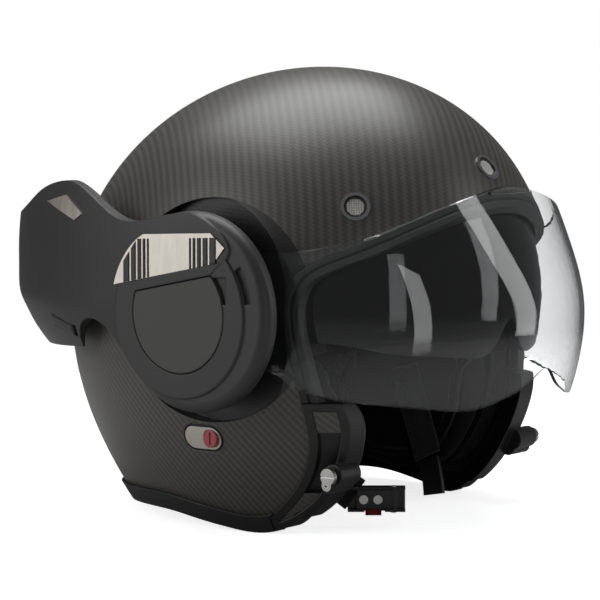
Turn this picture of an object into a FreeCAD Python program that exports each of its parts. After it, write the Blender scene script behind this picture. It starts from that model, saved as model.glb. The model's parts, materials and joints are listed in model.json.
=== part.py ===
"""Motorcycle helmet whose chin bar swings over the crown to rest behind the head.

Millimetres, +Z up, face towards -Y, wearer's right towards -X.  The origin is at
the bottom centre of the bounding box of the helmet standing on its rim.
"""
import FreeCAD, Part
import Sketcher
import math
import os
from FreeCAD import Placement, Rotation, Vector

# Driving dimensions, millimetres and degrees.  Heights are above the lowest rim.
SIZES = {
    "centring": -5.27,          # moves the head's own Y axis to the middle of the box
    "shell_half_width": 126.2,
    "shell_half_length": 145.6,
    "shell_crown_height": 129.85,
    "equator_height": 126.25,
    "shell_wall": 3.5,
    "foam_depth": 34.0,
    "lining_depth": 43.0,
    "fit_gap": 0.3,
    "pivot_y": -16.7,
    "pivot_height": 122.8,
    "ring_centre_y": -23.0,
    "ring_centre_height": 124.0,
    "ring_radius": 54.5,
    "face_radius": 46.0,
    "arm_face": 137.0,          # |x| of the flat outer face of each arm
    "ring_face": 135.6,
    "ring_back": 126.8,
    "ring_edge": 5.5,           # rounding of the ring's outer edge
    "pocket_floor": 109.5,
    "pocket_radius": 61.0,
    "base_radius": 30.0,
    "base_thickness": 3.0,
    "hub_radius": 11.6,
    "hub_height": 13.0,
    "hub_clearance": 12.1,
    "screw_bore": 2.6,
    "screw_shank": 2.45,
    "screw_length": 16.0,
    "screw_head_radius": 5.0,
    "screw_head_height": 3.0,
    "washer_radius": 16.0,
    "washer_thickness": 1.5,
    "plate_radius": 43.8,
    "plate_start": 119.2,
    "plate_thickness": 2.6,
    "plate_rim_inner": 39.0,
    "plate_rim_height": 11.4,
    "cap_radius": 31.8,
    "cap_well_radius": 32.5,
    "cap_well_floor": 133.4,
    "cap_thickness": 3.6,
    "visor_half_width": 118.9,
    "visor_wall": 2.2,
    "visor_hub_radius": 20.0,
    "sun_pivot_y": -20.0,
    "sun_pivot_height": 126.0,
    "sun_half_width": 104.0,
    "sun_radius": 121.0,
    "sun_wall": 2.2,
    "sun_hub_radius": 9.0,
    "sun_bore": 3.2,
    "sun_pin_radius": 3.0,
    "sun_pin_length": 6.8,
    "sun_pin_head": 5.2,
    "sun_pin_room": 7.0,
    "chin_reach": 193.5,
    "chin_half_width": 137.2,
    "chin_inner_reach": 169.5,
    "chin_inner_half_width": 129.0,
    "chin_wall": 3.0,
    "chin_swing": 199.0,
    "vent_bore": 7.2,
    "vent_flange": 8.0,
    "vent_eye": 6.2,
    "vent_mesh_radius": 4.9,
    "vent_depth": 5.0,
    "vent_drill": 24.0,
    "striker_radius": 4.6,
    "striker_neck": 2.7,
    "striker_foot": 95.0,       # |x| where each latch pin leaves its boss
    "boss_root": 78.0,
    "boss_radius": 6.2,
    "screw_boss_radius": 4.6,
    "button_radius": 4.85,
    "button_height": 4.6,
}

# The helmet's bottom edge and the cheek edge, as (y, height) seen from the side.
RIM_BOTTOM = [(-60, 9), (-50, 2.4), (-38, 0), (-21, 1.8), (0, 5.2), (14, 7.2), (40, 7.6),
              (64, 6), (95, 3.5), (125, 1.4), (170, 0.6)]
PORT_EDGE = [(-46, 9.5), (-59.3, 22), (-70.6, 37), (-77, 56), (-76.2, 75), (-72.5, 98),
             (-69, 118), (-69.5, 134), (-74, 144.5), (-82, 151.5), (-101, 161.5),
             (-120.6, 175), (-134, 187.5), (-160, 211)]
CHEEK_FRONT = [(-94, 76), (-97, 66), (-95.5, 55), (-89.5, 39), (-80, 24), (-66, 11), (-52, 3.4)]

RIGHT = -1
LEFT = 1
SIDES = (("right", RIGHT), ("left", LEFT))

doc = FreeCAD.newDocument("helmet")
sheet = doc.addObject("Spreadsheet::Sheet", "sizes")
for row, (alias, number) in enumerate(SIZES.items(), start=1):
    sheet.set(f"A{row}", alias)
    sheet.set(f"B{row}", str(number))
    sheet.setAlias(f"B{row}", alias)
doc.recompute()

nodes = {}


def size(alias):
    """One driving dimension, read from the sheet."""
    return float(sheet.get(alias))


def at(x, y, z):
    """A point given on the head's axes, in the object's frame."""
    return Vector(x, y + size("centring"), z)


def keep(name, thing):
    """Name a finished sub-part: the label is also the name of its file."""
    thing.Label = name
    nodes[name] = thing
    return thing


def shaped(name, shape):
    """A document object for a shape that only Part's own functions can make."""
    thing = doc.addObject("Part::Feature", name)
    thing.Shape = shape
    return thing


# ---------------------------------------------------------------- curved walls

def stack(sections):
    """A closed solid skinned over plan outlines, bottom first.

    Each section is (half width, front reach, rear reach, centre y, height, exponent);
    an exponent of 2 is an ellipse and a larger one is squarer.
    """
    count = 16
    swell = (2 + math.cos(2 * math.pi / count)) / 3
    span = sections[-1][4] - sections[0][4]
    steps = [0.0]
    for low, high in zip(sections, sections[1:]):
        rise = math.hypot(high[4] - low[4], high[0] - low[0])
        steps.append(steps[-1] + max(rise, 0.02 * span))
    columns = []
    for index in range(count):
        angle = 2 * math.pi * index / count
        points = [plan_point(section, angle, swell) for section in sections]
        column = Part.BSplineCurve()
        column.interpolate(Points=points, Parameters=[step / steps[-1] for step in steps])
        columns.append(column)
    surface = Part.BSplineSurface()
    surface.buildFromPolesMultsKnots([column.getPoles() for column in columns],
                                     [1] * (count + 1), columns[0].getMultiplicities(),
                                     list(range(count + 1)), columns[0].getKnots(),
                                     True, False, 3, 3)
    side = surface.toShape()
    rims = [edge for edge in side.Edges if edge.isClosed() and not edge.isSeam(side.Faces[0])]
    shell = Part.Shell(side.Faces + [Part.Face(Part.Wire([rim])) for rim in rims])
    shell.sewShape()
    solid = Part.Solid(shell)
    if solid.Volume < 0:
        solid.reverse()
    return solid


def plan_point(section, angle, swell):
    """A control point of one plan outline at one angle round it."""
    half_width, front, rear, centre, height, exponent = section
    across = math.copysign(abs(math.cos(angle)) ** (2 / exponent), math.cos(angle))
    along = math.copysign(abs(math.sin(angle)) ** (2 / exponent), math.sin(angle))
    reach = rear if along > 0 else front
    return at(half_width * across / swell, centre + reach * along / swell, height)


def shell_section(height, inset):
    """The shell's plan at a height below the equator, drawn in by inset."""
    fall = (size("equator_height") - height) / (size("equator_height") - 3.0)

    def blend(top, middle, bottom):
        return (top * 2 * (fall - 0.5) * (fall - 1) + middle * 4 * fall * (1 - fall)
                + bottom * 2 * fall * (fall - 0.5))

    half_width = blend(size("shell_half_width"), 119.5, 99.0) - inset
    half_length = blend(size("shell_half_length"), 142.1, 104.2) - inset
    centre = blend(1.9, 0.0, -1.0)
    return (half_width, half_length, half_length, centre, height, 2.0)


def crown_section(angle, inset):
    """The shell's plan above the equator, where its side view is an ellipse."""
    shrink = math.cos(math.radians(angle))
    rise = (size("shell_crown_height") - inset) * math.sin(math.radians(angle))
    half_length = (size("shell_half_length") - inset) * shrink
    return ((size("shell_half_width") - inset) * shrink, half_length, half_length,
            1.9 - 0.09 * rise, size("equator_height") + rise, 2.0)


def dome(inset, floor=-8.0):
    """The helmet's outer form drawn in by inset, as a closed solid."""
    lower = [shell_section(floor + (size("equator_height") - floor) * part / 5, inset)
             for part in range(5)]
    upper = [crown_section(angle, inset) for angle in (0, 14, 28, 42, 55, 66, 76, 83, 88.5)]
    return stack(lower + upper)


def surface_point(x, height):
    """The point of the shell's front surface at x and a height above the equator."""
    rise = (height - size("equator_height")) / size("shell_crown_height")
    shrink = math.sqrt(1 - rise ** 2)
    across = x / (size("shell_half_width") * shrink)
    y = 1.9 - 0.09 * (height - size("equator_height"))
    y -= size("shell_half_length") * shrink * math.sqrt(1 - across ** 2)
    return at(x, y, height)


def surface_normal(point):
    """The outward direction of the shell's upper surface at a point of it."""
    rise = point.z - size("equator_height")
    along = (point.y - size("centring") - 1.9 + 0.09 * rise) / size("shell_half_length") ** 2
    normal = Vector(point.x / size("shell_half_width") ** 2, along,
                    rise / size("shell_crown_height") ** 2 + 0.09 * along)
    return normal.normalize()


# ---------------------------------------------------------------- outlines and prisms

def run(points, place):
    """One edge through points: a straight line through two, a curve through more."""
    ends = [place(*point) for point in points]
    if len(ends) == 2:
        return Part.LineSegment(*ends).toShape()
    curve = Part.BSplineCurve()
    curve.interpolate(Points=ends)
    return curve.toShape()


def side_view(y, z):
    return at(0, y, z)


def front_view(x, z):
    return at(x, 0, z)


def prism(runs, place, start, end):
    """The outline that the runs close, swept from start to end square to its view."""
    loop = list(runs)
    if loop[-1][-1] != loop[0][0]:
        loop.append([loop[-1][-1], loop[0][0]])
    face = Part.Face(Part.Wire([run(points, place) for points in loop]))
    way = Vector(1, 0, 0) if place is side_view else Vector(0, 1, 0)
    face.translate(way * start)
    return face.extrude(way * (end - start))


def slab(runs, low=-160, high=160):
    """A side-view outline swept right across the helmet."""
    return prism(runs, side_view, low, high)


def shifted(points, distance):
    """An open outline moved sideways, to the left of its own direction."""
    moved = []
    for index, (y, z) in enumerate(points):
        before = points[max(index - 1, 0)]
        after = points[min(index + 1, len(points) - 1)]
        length = math.hypot(after[0] - before[0], after[1] - before[1])
        moved.append((y - distance * (after[1] - before[1]) / length,
                      z + distance * (after[0] - before[0]) / length))
    return moved


def backwards(points):
    return list(reversed(points))


def rod(side, radius, start, end, y, z):
    """A plain cylinder along X on one side, between two distances from the middle."""
    low, high = sorted((side * start, side * end))
    return Part.makeCylinder(radius, high - low, at(low, y, z), Vector(1, 0, 0))


def half(side):
    """A block that holds everything on one side of the middle."""
    return Part.makeBox(160, 480, 320, at(0 if side > 0 else -160, -240, -20))


# ---------------------------------------------------------------- document helpers

def cylinder(name, radius, height, placement):
    """A Part cylinder whose radius and height follow the sheet."""
    thing = doc.addObject("Part::Cylinder", name)
    thing.setExpression("Radius", f"sizes.{radius}")
    thing.setExpression("Height", f"sizes.{height}")
    thing.Placement = placement
    return thing


def cut(name, base, tools):
    """A chain of cuts, one tool after another."""
    for index, tool in enumerate(tools):
        last = index == len(tools) - 1
        thing = doc.addObject("Part::Cut", name if last else f"{name}_cut{index}")
        thing.Base = base
        thing.Tool = tool
        base = thing
    return base


def gathered(name, parts):
    """Like pieces kept in one node as separate solids."""
    thing = doc.addObject("Part::Compound", name)
    thing.Links = parts
    return thing


def turned(name, rings, bores=()):
    """A body turned about its own Z axis.

    A ring is (radius, start, length) and a bore is (radius, start, length), each by
    its name in the sheet or as an expression of such names.
    """
    body = doc.addObject("PartDesign::Body", name)
    for index, (radius, start, length) in enumerate(rings):
        pad = body.newObject("PartDesign::Pad", f"{name}_ring{index}")
        pad.Profile = disc_sketch(body, f"{name}_ring{index}_outline", radius, start)
        pad.setExpression("Length", length)
    for index, (radius, start, length) in enumerate(bores):
        pocket = body.newObject("PartDesign::Pocket", f"{name}_bore{index}")
        pocket.Profile = disc_sketch(body, f"{name}_bore{index}_outline", radius, start)
        pocket.setExpression("Length", length)
        pocket.Reversed = True
    return body


def disc_sketch(body, name, radius, start):
    """A circle on the body's own XY plane, raised to start."""
    plane = [f for f in body.Origin.OriginFeatures if f.Role == "XY_Plane"][0]
    sketch = body.newObject("Sketcher::SketchObject", name)
    sketch.AttachmentSupport = [(plane, "")]
    sketch.MapMode = "FlatFace"
    circle = sketch.addGeometry(Part.Circle(Vector(0, 0, 0), Vector(0, 0, 1), 5.0))
    sketch.addConstraint(Sketcher.Constraint("Coincident", circle, 3, -1, 1))
    ruling = sketch.addConstraint(Sketcher.Constraint("Radius", circle, 5.0))
    sketch.setExpression(f"Constraints[{ruling}]", radius)
    sketch.setExpression("AttachmentOffset.Base.z", start)
    return sketch


def facing(point, way):
    """Where a turned body goes: its Z axis along way, its foot at point."""
    return Placement(point, Rotation(Vector(0, 0, 1), way))


def outward(side):
    return Vector(side, 0, 0)


# ---------------------------------------------------------------- shared regions

PIVOT = (size("pivot_y"), size("pivot_height"))
RING = (size("ring_centre_y"), size("ring_centre_height"))
SUN_PIVOT = (size("sun_pivot_y"), size("sun_pivot_height"))
BUTTON = (-22.2, 53.5)
VENTS = (("vent_centre", surface_point(0, 200.5)),
         ("vent_right", surface_point(-81.9, 181.2)),
         ("vent_left", surface_point(81.9, 181.2)))


def above_rim(lift):
    """Everything that is higher than the bottom edge by at least lift."""
    edge = [(y, z + lift) for y, z in RIM_BOTTOM]
    return slab([[(-260, 60), edge[0]], edge, [edge[-1], (260, 10)],
                 [(260, 10), (260, 320)], [(260, 320), (-260, 320)]])


def face_opening(inset):
    """The face port and the cheek cut-outs, their edge moved inwards by inset."""
    edge = shifted(PORT_EDGE, inset)
    return slab([edge, [edge[-1], (-260, 300)], [(-260, 300), (-260, -60)],
                 [(-260, -60), (edge[0][0], -60)]])


def layer(outer, inner):
    """The space between two depths under the shell's outer surface."""
    return dome(outer).cut(dome(inner))


def levels(low, high):
    """A block between two heights."""
    return Part.makeBox(400, 560, high - low, at(-200, -280, low))


def stadium(radius, start, end):
    """The sun-visor button's rounded slot, cut through the right-hand side."""
    length = 11.0
    tips = [rod(RIGHT, radius, start, end, BUTTON[0] + shift, BUTTON[1]) for shift in (0, length)]
    middle = Part.makeBox(end - start, length, 2 * radius,
                          at(-end, BUTTON[0], BUTTON[1] - radius))
    return tips[0].fuse(middle).fuse(tips[1]).removeSplitter()


# ---------------------------------------------------------------- shell and liners

def make_outer_shell():
    wall = size("shell_wall")
    floor = size("pocket_floor")
    hollow = dome(wall)
    form = dome(0)
    for _, side in SIDES:
        form = form.cut(rod(side, size("pocket_radius"), floor, 160, *RING))
        hollow = hollow.cut(rod(side, size("pocket_radius") + wall, floor - wall, 160, *RING))
    form = form.cut(hollow).cut(face_opening(0)).common(above_rim(3.4))
    blank = shaped("shell_blank", form.cut(stadium(7.5, 100, 130)))
    drills = []
    for name, point in VENTS:
        way = surface_normal(point)
        drills.append(cylinder(f"{name}_drill", "vent_bore", "vent_drill",
                               facing(point - way * 12, way)))
    for name, side in SIDES:
        drills.append(cylinder(f"pivot_drill_{name}", "screw_bore", "vent_drill",
                               facing(at(side * (floor - 12), *PIVOT), outward(side))))
    keep("outer_shell", cut("outer_shell", blank, drills))


def make_rim_trim():
    """A channel-shaped strip that closes the shell's bottom edge."""
    strip = layer(-2.2, 7).common(above_rim(0)).cut(above_rim(10)).cut(face_opening(0))
    seat = layer(-0.1, 3.6).common(above_rim(3.3))
    keep("rim_trim", shaped("rim_trim", strip.cut(seat)))


def make_port_gasket():
    """Two rubber lips with a groove between them round the face port."""
    band = face_opening(0.2).cut(face_opening(8)).common(levels(76.2, 300))
    groove = face_opening(3.4).cut(face_opening(4.8)).common(layer(-4, 0.4))
    gasket = layer(-0.8, 5).common(band).cut(groove)
    gasket = gasket.common(visor_form(size("visor_wall") + 0.6))
    keep("port_gasket", shaped("port_gasket", gasket))


def sun_slot(margin):
    """The sector between shell and foam that the sun visor turns through."""
    core = sun_ball(-size("sun_wall") - margin)
    sector = slab([[SUN_PIVOT, (-40, 262)], [(-40, 262), (-220, 262)],
                   [(-220, 262), (-220, 60)], [(-220, 60), (-30, 60)]])
    hubs = [rod(side, 37, 60, 130, *SUN_PIVOT) for _, side in SIDES]
    return sector.fuse(hubs).cut(core)


def make_foam_liner():
    region = slab([[(-160, 100), (28, 100)], [(28, 100), (42, 50)], [(42, 50), (170, 50)],
                   [(170, 50), (170, 320)], [(170, 320), (-160, 320)]])
    form = layer(size("shell_wall") + size("fit_gap"), size("foam_depth"))
    form = form.common(region).cut(face_opening(-3))
    clear = size("pocket_floor") - size("shell_wall") - size("fit_gap")
    for _, side in SIDES:
        form = form.cut(rod(side, size("pocket_radius") + 5, clear, 160, *RING))
    for _, point in VENTS:
        way = surface_normal(point)
        form = form.cut(Part.makeCylinder(size("vent_flange"), 14, point - way * 14, way))
    room = size("sun_pin_room")
    for _, side in SIDES:
        form = form.cut(rod(side, room, clear - room - 1.5, clear + 1, *SUN_PIVOT))
    keep("foam_liner", shaped("foam_liner", form.cut(sun_slot(1.5))))


def make_crown_lining():
    region = slab([[(-160, 104), (24, 104)], [(24, 104), (44, 62)], [(44, 62), (170, 62)],
                   [(170, 62), (170, 320)], [(170, 320), (-160, 320)]])
    form = layer(size("foam_depth") + size("fit_gap"), size("lining_depth"))
    keep("crown_lining", shaped("crown_lining", form.common(region).cut(face_opening(-5))))


CHEEK_PAD = [(-66, 98), (-71, 76), (-70, 56), (-62, 36), (-48, 20), (-20, 15), (8, 18),
             (24, 30), (32, 52), (28, 78), (18, 98)]


def face_space():
    """The room for the jaw and cheeks between the pads."""
    return stack([(56, 108, 108, -5, -10, 3), (58, 108, 108, -5, 25, 3),
                  (61, 110, 110, -5, 60, 3), (70, 112, 112, -5, 95, 3),
                  (80, 112, 112, -5, 120, 3)])


def make_cheek_pads():
    region = slab([CHEEK_PAD]).common(above_rim(7))
    pads = dome(20 + size("fit_gap")).cut(face_space()).common(region)
    blocks = layer(size("shell_wall") + size("fit_gap"), 20).common(region)
    blocks = blocks.cut(stadium(8.5, 100, 130))
    for _, side in SIDES:
        clear = size("pocket_floor") - size("shell_wall") - size("fit_gap")
        blocks = blocks.cut(rod(side, size("pocket_radius") + 5, clear, 160, *RING))
        blocks = blocks.cut(rod(side, 17, 60, 130, *SUN_PIVOT))
    for name, side in SIDES:
        keep(f"cheek_pad_{name}", shaped(f"cheek_pad_{name}", pads.common(half(side))))
        keep(f"cheek_foam_{name}", shaped(f"cheek_foam_{name}", blocks.common(half(side))))


def make_neck_roll():
    region = slab([[(44, -5), (170, -5)], [(170, -5), (170, 48)], [(170, 48), (48, 48)]])
    form = layer(8, 34).common(region).common(above_rim(1.5))
    keep("neck_roll", shaped("neck_roll", form))


# ---------------------------------------------------------------- cheek trims and strikers

STRIKER = (-90.2, 37.0)
LOCK_SCREW = (STRIKER[0] + 3.1, STRIKER[1] - 5.3)


def cheek_region(border):
    """The cheek's front strip in side view, drawn in by border on its long sides."""
    front = shifted(CHEEK_FRONT, border)
    strip = slab([front, [front[-1], (-30, -2)], [(-30, -2), (-30, 100)],
                  [(-30, 100), (front[0][0], 100)]])
    return strip.common(face_opening(0.2 + border)).common(levels(-5, 76 - border))


def striker_boss(side, grow):
    """The raised round seats of the latch pin and its lock screw, let out by grow."""
    boss = None
    for radius, place in (("boss_radius", STRIKER), ("screw_boss_radius", LOCK_SCREW)):
        post = rod(side, size(radius) + grow, size("boss_root"), size("striker_foot"), *place)
        boss = boss.fuse(post) if boss else post
    return boss


def make_cheek_trims():
    strip = layer(-1.5, 9).common(cheek_region(0)).common(above_rim(0))
    channel = layer(-4, 1.5).common(cheek_region(4))
    trims = strip.cut(channel)
    fill = layer(-1.2, 1.4).common(cheek_region(4.2)).cut(levels(25, 60)).common(above_rim(4))
    for name, side in SIDES:
        trim = trims.common(half(side)).fuse(striker_boss(side, 0).cut(dome(6)))
        seat = striker_boss(side, 0.2)
        ends = fill.common(half(side)).cut(seat)
        keep(f"cheek_trim_{name}", shaped(f"cheek_trim_{name}", trim.removeSplitter()))
        keep(f"cheek_end_caps_{name}", shaped(f"cheek_end_caps_{name}", ends))


def make_strikers():
    """A latch pin with a slotted head and its smaller lock screw on each cheek."""
    pins = []
    screws = []
    for name, side in SIDES:
        pin = turned(f"striker_pin_body_{name}",
                     [("sizes.striker_neck", "0", "3"),
                      ("sizes.striker_radius", "2.5", "2.6")])
        foot = side * size("striker_foot")
        pin.Placement = facing(at(foot, *STRIKER), outward(side))
        slot = doc.addObject("Part::Box", f"striker_slot_{name}")
        slot.Length, slot.Width, slot.Height = 4, 12, 1.1
        slot.Placement = Placement(at(foot + side * 6.5 - 2, STRIKER[0] - 6, STRIKER[1] - 0.55),
                                   Rotation())
        pins.append(cut(f"striker_pin_cut_{name}", pin, [slot]))
        screw = turned(f"lock_screw_body_{name}", [("3.2", "0", "1.8")], [("1.2", "0.9", "2")])
        screw.Placement = facing(at(foot, *LOCK_SCREW), outward(side))
        screws.append(screw)
    keep("striker_pins", gathered("striker_pins", pins))
    keep("lock_screws", gathered("lock_screws", screws))


# ---------------------------------------------------------------- vents and sun-visor button

def make_vents():
    """A chrome ring, a black cup and a mesh disc in each of three forehead holes."""
    kinds = {"vent_rings": [], "vent_cups": [], "vent_meshes": []}
    skin = dome(0)
    for name, point in VENTS:
        way = surface_normal(point)
        flange = Part.makeCylinder(size("vent_flange"), 5, point - way * 4.2, way)
        flange = flange.cut(skin)
        sleeve = Part.makeCylinder(size("vent_bore") - 0.1, 4.6, point - way * 4.2, way)
        bore = Part.makeCylinder(size("vent_eye"), 12, point - way * 6, way)
        ring = shaped(f"{name}_ring", flange.fuse(sleeve).removeSplitter().cut(bore))
        cup = turned(f"{name}_cup", [("sizes.vent_eye - 0.1", "0", "sizes.vent_depth - 1")],
                     [("sizes.vent_mesh_radius + 0.1", "1", "sizes.vent_depth")])
        cup.Placement = facing(point - way * 4.2, way)
        mesh = turned(f"{name}_mesh", [("sizes.vent_mesh_radius", "0", "2.4")])
        mesh.Placement = facing(point - way * 2.6, way)
        for kind, piece in zip(kinds, (ring, cup, mesh)):
            kinds[kind].append(piece)
    for kind, pieces in kinds.items():
        keep(kind, gathered(kind, pieces))


def make_sun_visor_button():
    """A red push button in a brushed plate, in a black tub below the right-hand arm."""
    tub = layer(0.5, 4.6).common(stadium(7.3, 100, 130)).cut(layer(-4, 2.6).common(
        stadium(6.45, 100, 130)))
    well = rod(RIGHT, 5.1, 100, 130, *BUTTON)
    plate = layer(-0.4, 2.5).common(stadium(6.25, 100, 130)).cut(well)
    keep("button_tub", shaped("button_tub", tub.cut(well)))
    keep("button_plate", shaped("button_plate", plate))
    button = turned("button_body", [("sizes.button_radius", "0", "sizes.button_height")])
    button.Placement = facing(at(-112.2, *BUTTON), outward(RIGHT))
    slot = doc.addObject("Part::Box", "button_slot")
    slot.Length, slot.Width, slot.Height = 3, 1.0, 7
    slot.Placement = Placement(at(-119, BUTTON[0] - 0.5, BUTTON[1] - 3.5), Rotation())
    keep("sun_visor_button", cut("sun_visor_button", button, [slot]))


# ---------------------------------------------------------------- pivots

def make_pivots():
    """On each side: a base plate with a hub, a retaining washer and a pivot screw."""
    for name, side in SIDES:
        floor = size("pocket_floor")
        base = turned(f"pivot_base_{name}",
                      [("sizes.base_radius", "0", "sizes.base_thickness"),
                       ("sizes.hub_radius", "0", "sizes.hub_height")],
                      [("sizes.screw_bore", "-1", "sizes.hub_height + 5")])
        base.Placement = facing(at(side * floor, *PIVOT), outward(side))
        keep(f"pivot_base_{name}", base)
    washers = []
    screws = []
    for name, side in SIDES:
        top = size("pocket_floor") + size("hub_height")
        washer = turned(f"pivot_washer_{name}",
                        [("sizes.washer_radius", "0", "sizes.washer_thickness")],
                        [("sizes.screw_bore", "-1", "sizes.washer_thickness + 2")])
        washer.Placement = facing(at(side * top, *PIVOT), outward(side))
        washers.append(washer)
        screw = turned(f"pivot_screw_{name}",
                       [("sizes.screw_shank", "-sizes.screw_length", "sizes.screw_length + 1"),
                        ("sizes.screw_head_radius", "0", "sizes.screw_head_height")],
                       [("1.5", "1.4", "3")])
        screw.Placement = facing(at(side * (top + size("washer_thickness")), *PIVOT),
                                 outward(side))
        screws.append(screw)
    keep("pivot_washers", gathered("pivot_washers", washers))
    keep("pivot_screws", gathered("pivot_screws", screws))


# ---------------------------------------------------------------- clear visor

VISOR_TOP = [(124, 158), (116, 157.5), (111, 157), (105, 159), (92, 164), (84, 168),
             (64, 177), (44, 183), (20, 188.2), (0, 190.4)]
VISOR_BOTTOM = [(124, 96), (116, 95), (112, 91.5), (109, 84), (105, 80.5), (95, 77.4),
                (84, 75.8), (69, 73.6), (58, 72.2), (45, 72.6), (31, 76.5), (20, 80.5),
                (11, 86), (4, 91), (0, 92)]


def mirrored_run(points):
    """A run from +x to the middle, continued to -x."""
    return points + [(-x, z) for x, z in backwards(points[:-1])]


def visor_form(thin):
    """The bubble as a closed form, drawn in by thin."""
    rows = ((60, 134), (72, 140.5), (85, 145.2), (100, 148.8), (122, 150.2), (140, 146.2),
            (158, 138.6), (174, 130.5), (190, 121.5), (204, 113.5))
    width = size("visor_half_width") - thin
    return stack([(width, reach - thin, reach - thin, size("pivot_y"), height, 2.2)
                  for height, reach in rows])


def make_visor():
    front = prism([mirrored_run(VISOR_TOP),
                   [(-124, 158), (-124, 96)], backwards(mirrored_run(VISOR_BOTTOM)),
                   [(124, 96), (124, 158)]], front_view, -230, -57)
    reach = size("visor_hub_radius")
    hub_y, hub_z = PIVOT
    ear = slab([[(-57.5, 95.1), (-57.5, 157.9)], [(-57.5, 157.9), (hub_y, hub_z + reach)],
                [(hub_y, hub_z + reach), (hub_y + 14.1, hub_z + 14.1), (hub_y + reach, hub_z),
                 (hub_y + 14.1, hub_z - 14.1), (hub_y, hub_z - reach)]])
    sheet_form = visor_form(0).cut(visor_form(size("visor_wall")))
    visor = sheet_form.common(front.fuse(ear))
    lip = prism([[(20, 186.5), (20, 187.9)], [(20, 187.9), (0, 190.2), (-20, 187.9)],
                 [(-20, 187.9), (-20, 186.5)]], front_view, -230, -57)
    visor = visor.fuse(visor_form(-1.6).cut(visor_form(0.5)).common(lip))
    for _, side in SIDES:
        visor = visor.cut(rod(side, size("hub_clearance"), 90, 140, *PIVOT))
    keep("clear_visor", shaped("clear_visor", visor.removeSplitter()))


# ---------------------------------------------------------------- sun visor

def sun_ball(grow):
    """The solid that the sun visor's outer face lies on, turned about its own pivots."""
    radius = size("sun_radius") + grow
    width = size("sun_half_width") + grow
    power = 2 / 2.1
    count = 24
    points = []
    for index in range(count + 1):
        angle = math.pi * index / count
        across = math.copysign(abs(math.cos(angle)) ** power, math.cos(angle))
        points.append(at(width * across, SUN_PIVOT[0], SUN_PIVOT[1]
                         + radius * math.sin(angle) ** power))
    curve = Part.BSplineCurve()
    curve.interpolate(Points=points)
    axis = Part.LineSegment(points[-1], points[0])
    face = Part.Face(Part.Wire([curve.toShape(), axis.toShape()]))
    return face.revolve(at(0, *SUN_PIVOT), Vector(1, 0, 0), 360)


SUN_BOTTOM = [(110, 88), (100, 103), (95, 106.5), (74, 103), (52, 100), (30, 97.6),
              (20, 98), (13, 102.5), (8, 110), (4, 116), (0, 118)]


def make_sun_visor():
    hub_y, hub_z = SUN_PIVOT
    hub = size("sun_hub_radius")
    side = slab([[(hub_y, hub_z + hub), (-58, 153)], [(-58, 153), (-150, 208)],
                 [(-150, 208), (-150, 85)], [(-150, 85), (-80, 90)], [(-80, 90), (-66, 108)],
                 [(-66, 108), (hub_y, hub_z - hub)],
                 [(hub_y, hub_z - hub), (hub_y + hub, hub_z), (hub_y, hub_z + hub)]])
    front = prism([mirrored_run(SUN_BOTTOM), [(-110, 88), (-110, 260)],
                   [(-110, 260), (110, 260)]], front_view, -230, 60)
    visor = sun_ball(0).cut(sun_ball(-size("sun_wall"))).common(side).common(front)
    for _, way in SIDES:
        visor = visor.cut(rod(way, size("sun_bore"), 80, 120, *SUN_PIVOT))
    keep("sun_visor", shaped("sun_visor", visor))
    pins = []
    for name, way in SIDES:
        pin = turned(f"sun_pin_{name}",
                     [("sizes.sun_pin_radius", "0", "sizes.sun_pin_length"),
                      ("sizes.sun_pin_head", "0", "1.6")])
        start = size("pocket_floor") - size("shell_wall") - size("sun_pin_length")
        pin.Placement = facing(at(way * start, *SUN_PIVOT), outward(way))
        pins.append(pin)
    keep("sun_visor_pins", gathered("sun_visor_pins", pins))


# ---------------------------------------------------------------- chin bar

BAR_TOP = [(-26, 178.2), (0, 174.6), (25, 172.4), (43, 180), (60, 188.6), (72, 192), (84, 191.5),
           (104, 186), (120, 178), (140, 171.4), (160, 168.6), (200, 167.4)]
BAR_BOTTOM = [(200, 94), (160, 94.2), (130, 95), (90, 97), (67, 98.6)]
BAR_NOTCH = [(67, 98.6), (65.5, 108), (60, 114.4), (48, 115.8), (38, 109.5), (31, 99), (18, 88)]
BAR_FRONT = [(18, 88), (-45, 150)]
BAR_SHOULDER = [(-45, 150), (-52.5, 160), (-42, 171), (-26, 178.2)]
CAVITY_TOP = [(62, 182), (72, 186.5), (84, 186), (104, 180.5), (120, 172.5), (140, 166),
              (160, 163.4), (200, 162.5)]
CAVITY_BOTTOM = [(200, 99.5), (160, 99.7), (130, 100.5), (90, 102.5), (70, 104)]
BADGE = [[(29, 136.9), (24.5, 148), (17.5, 157.5), (7.2, 165.3)],
         [(7.2, 165.3), (-40.6, 167.7)], [(-40.6, 167.7), (-50.3, 160.2)],
         [(-50.3, 160.2), (-42.6, 151.3)]]
CHIN_PLATE = [[(94, 180), (75, 184.2)], [(75, 184.2), (58, 174.5)], [(58, 174.5), (65, 170.6)]]
CHIN_INSERT = [[(92, 115.5), (72.5, 110.8)], [(72.5, 110.8), (72.5, 105.2)],
               [(72.5, 105.2), (92, 109.7)]]
LATCH_WAY = 319.4               # direction in which the closing catch meets its pin


def bar_form(grow):
    """The chin bar's outer face as a closed form, let out by grow."""
    rows = ((88, 125, 164), (95, 128, 172), (102, 131, 178.6), (109, 133.6, 183.8),
            (116, 135.6, 188), (122, 136.9, 191.6), (128, 137.2, 193.3), (138, 137.2, 193.5),
            (152, 137.2, 193.4), (168, 136.8, 192), (182, 135.4, 189.4), (194, 132.8, 184.6),
            (204, 129.2, 178))
    return stack([(width + grow, reach + grow, reach + grow, PIVOT[0], height, 2.6)
                  for height, width, reach in rows])


def bar_hollow(grow):
    """The chin bar's inner face, let out by grow."""
    width = size("chin_inner_half_width") + grow
    reach = size("chin_inner_reach") + grow
    return stack([(width, reach, reach, PIVOT[0], height, 2.6) for height in (70, 110, 160, 215)])


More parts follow.
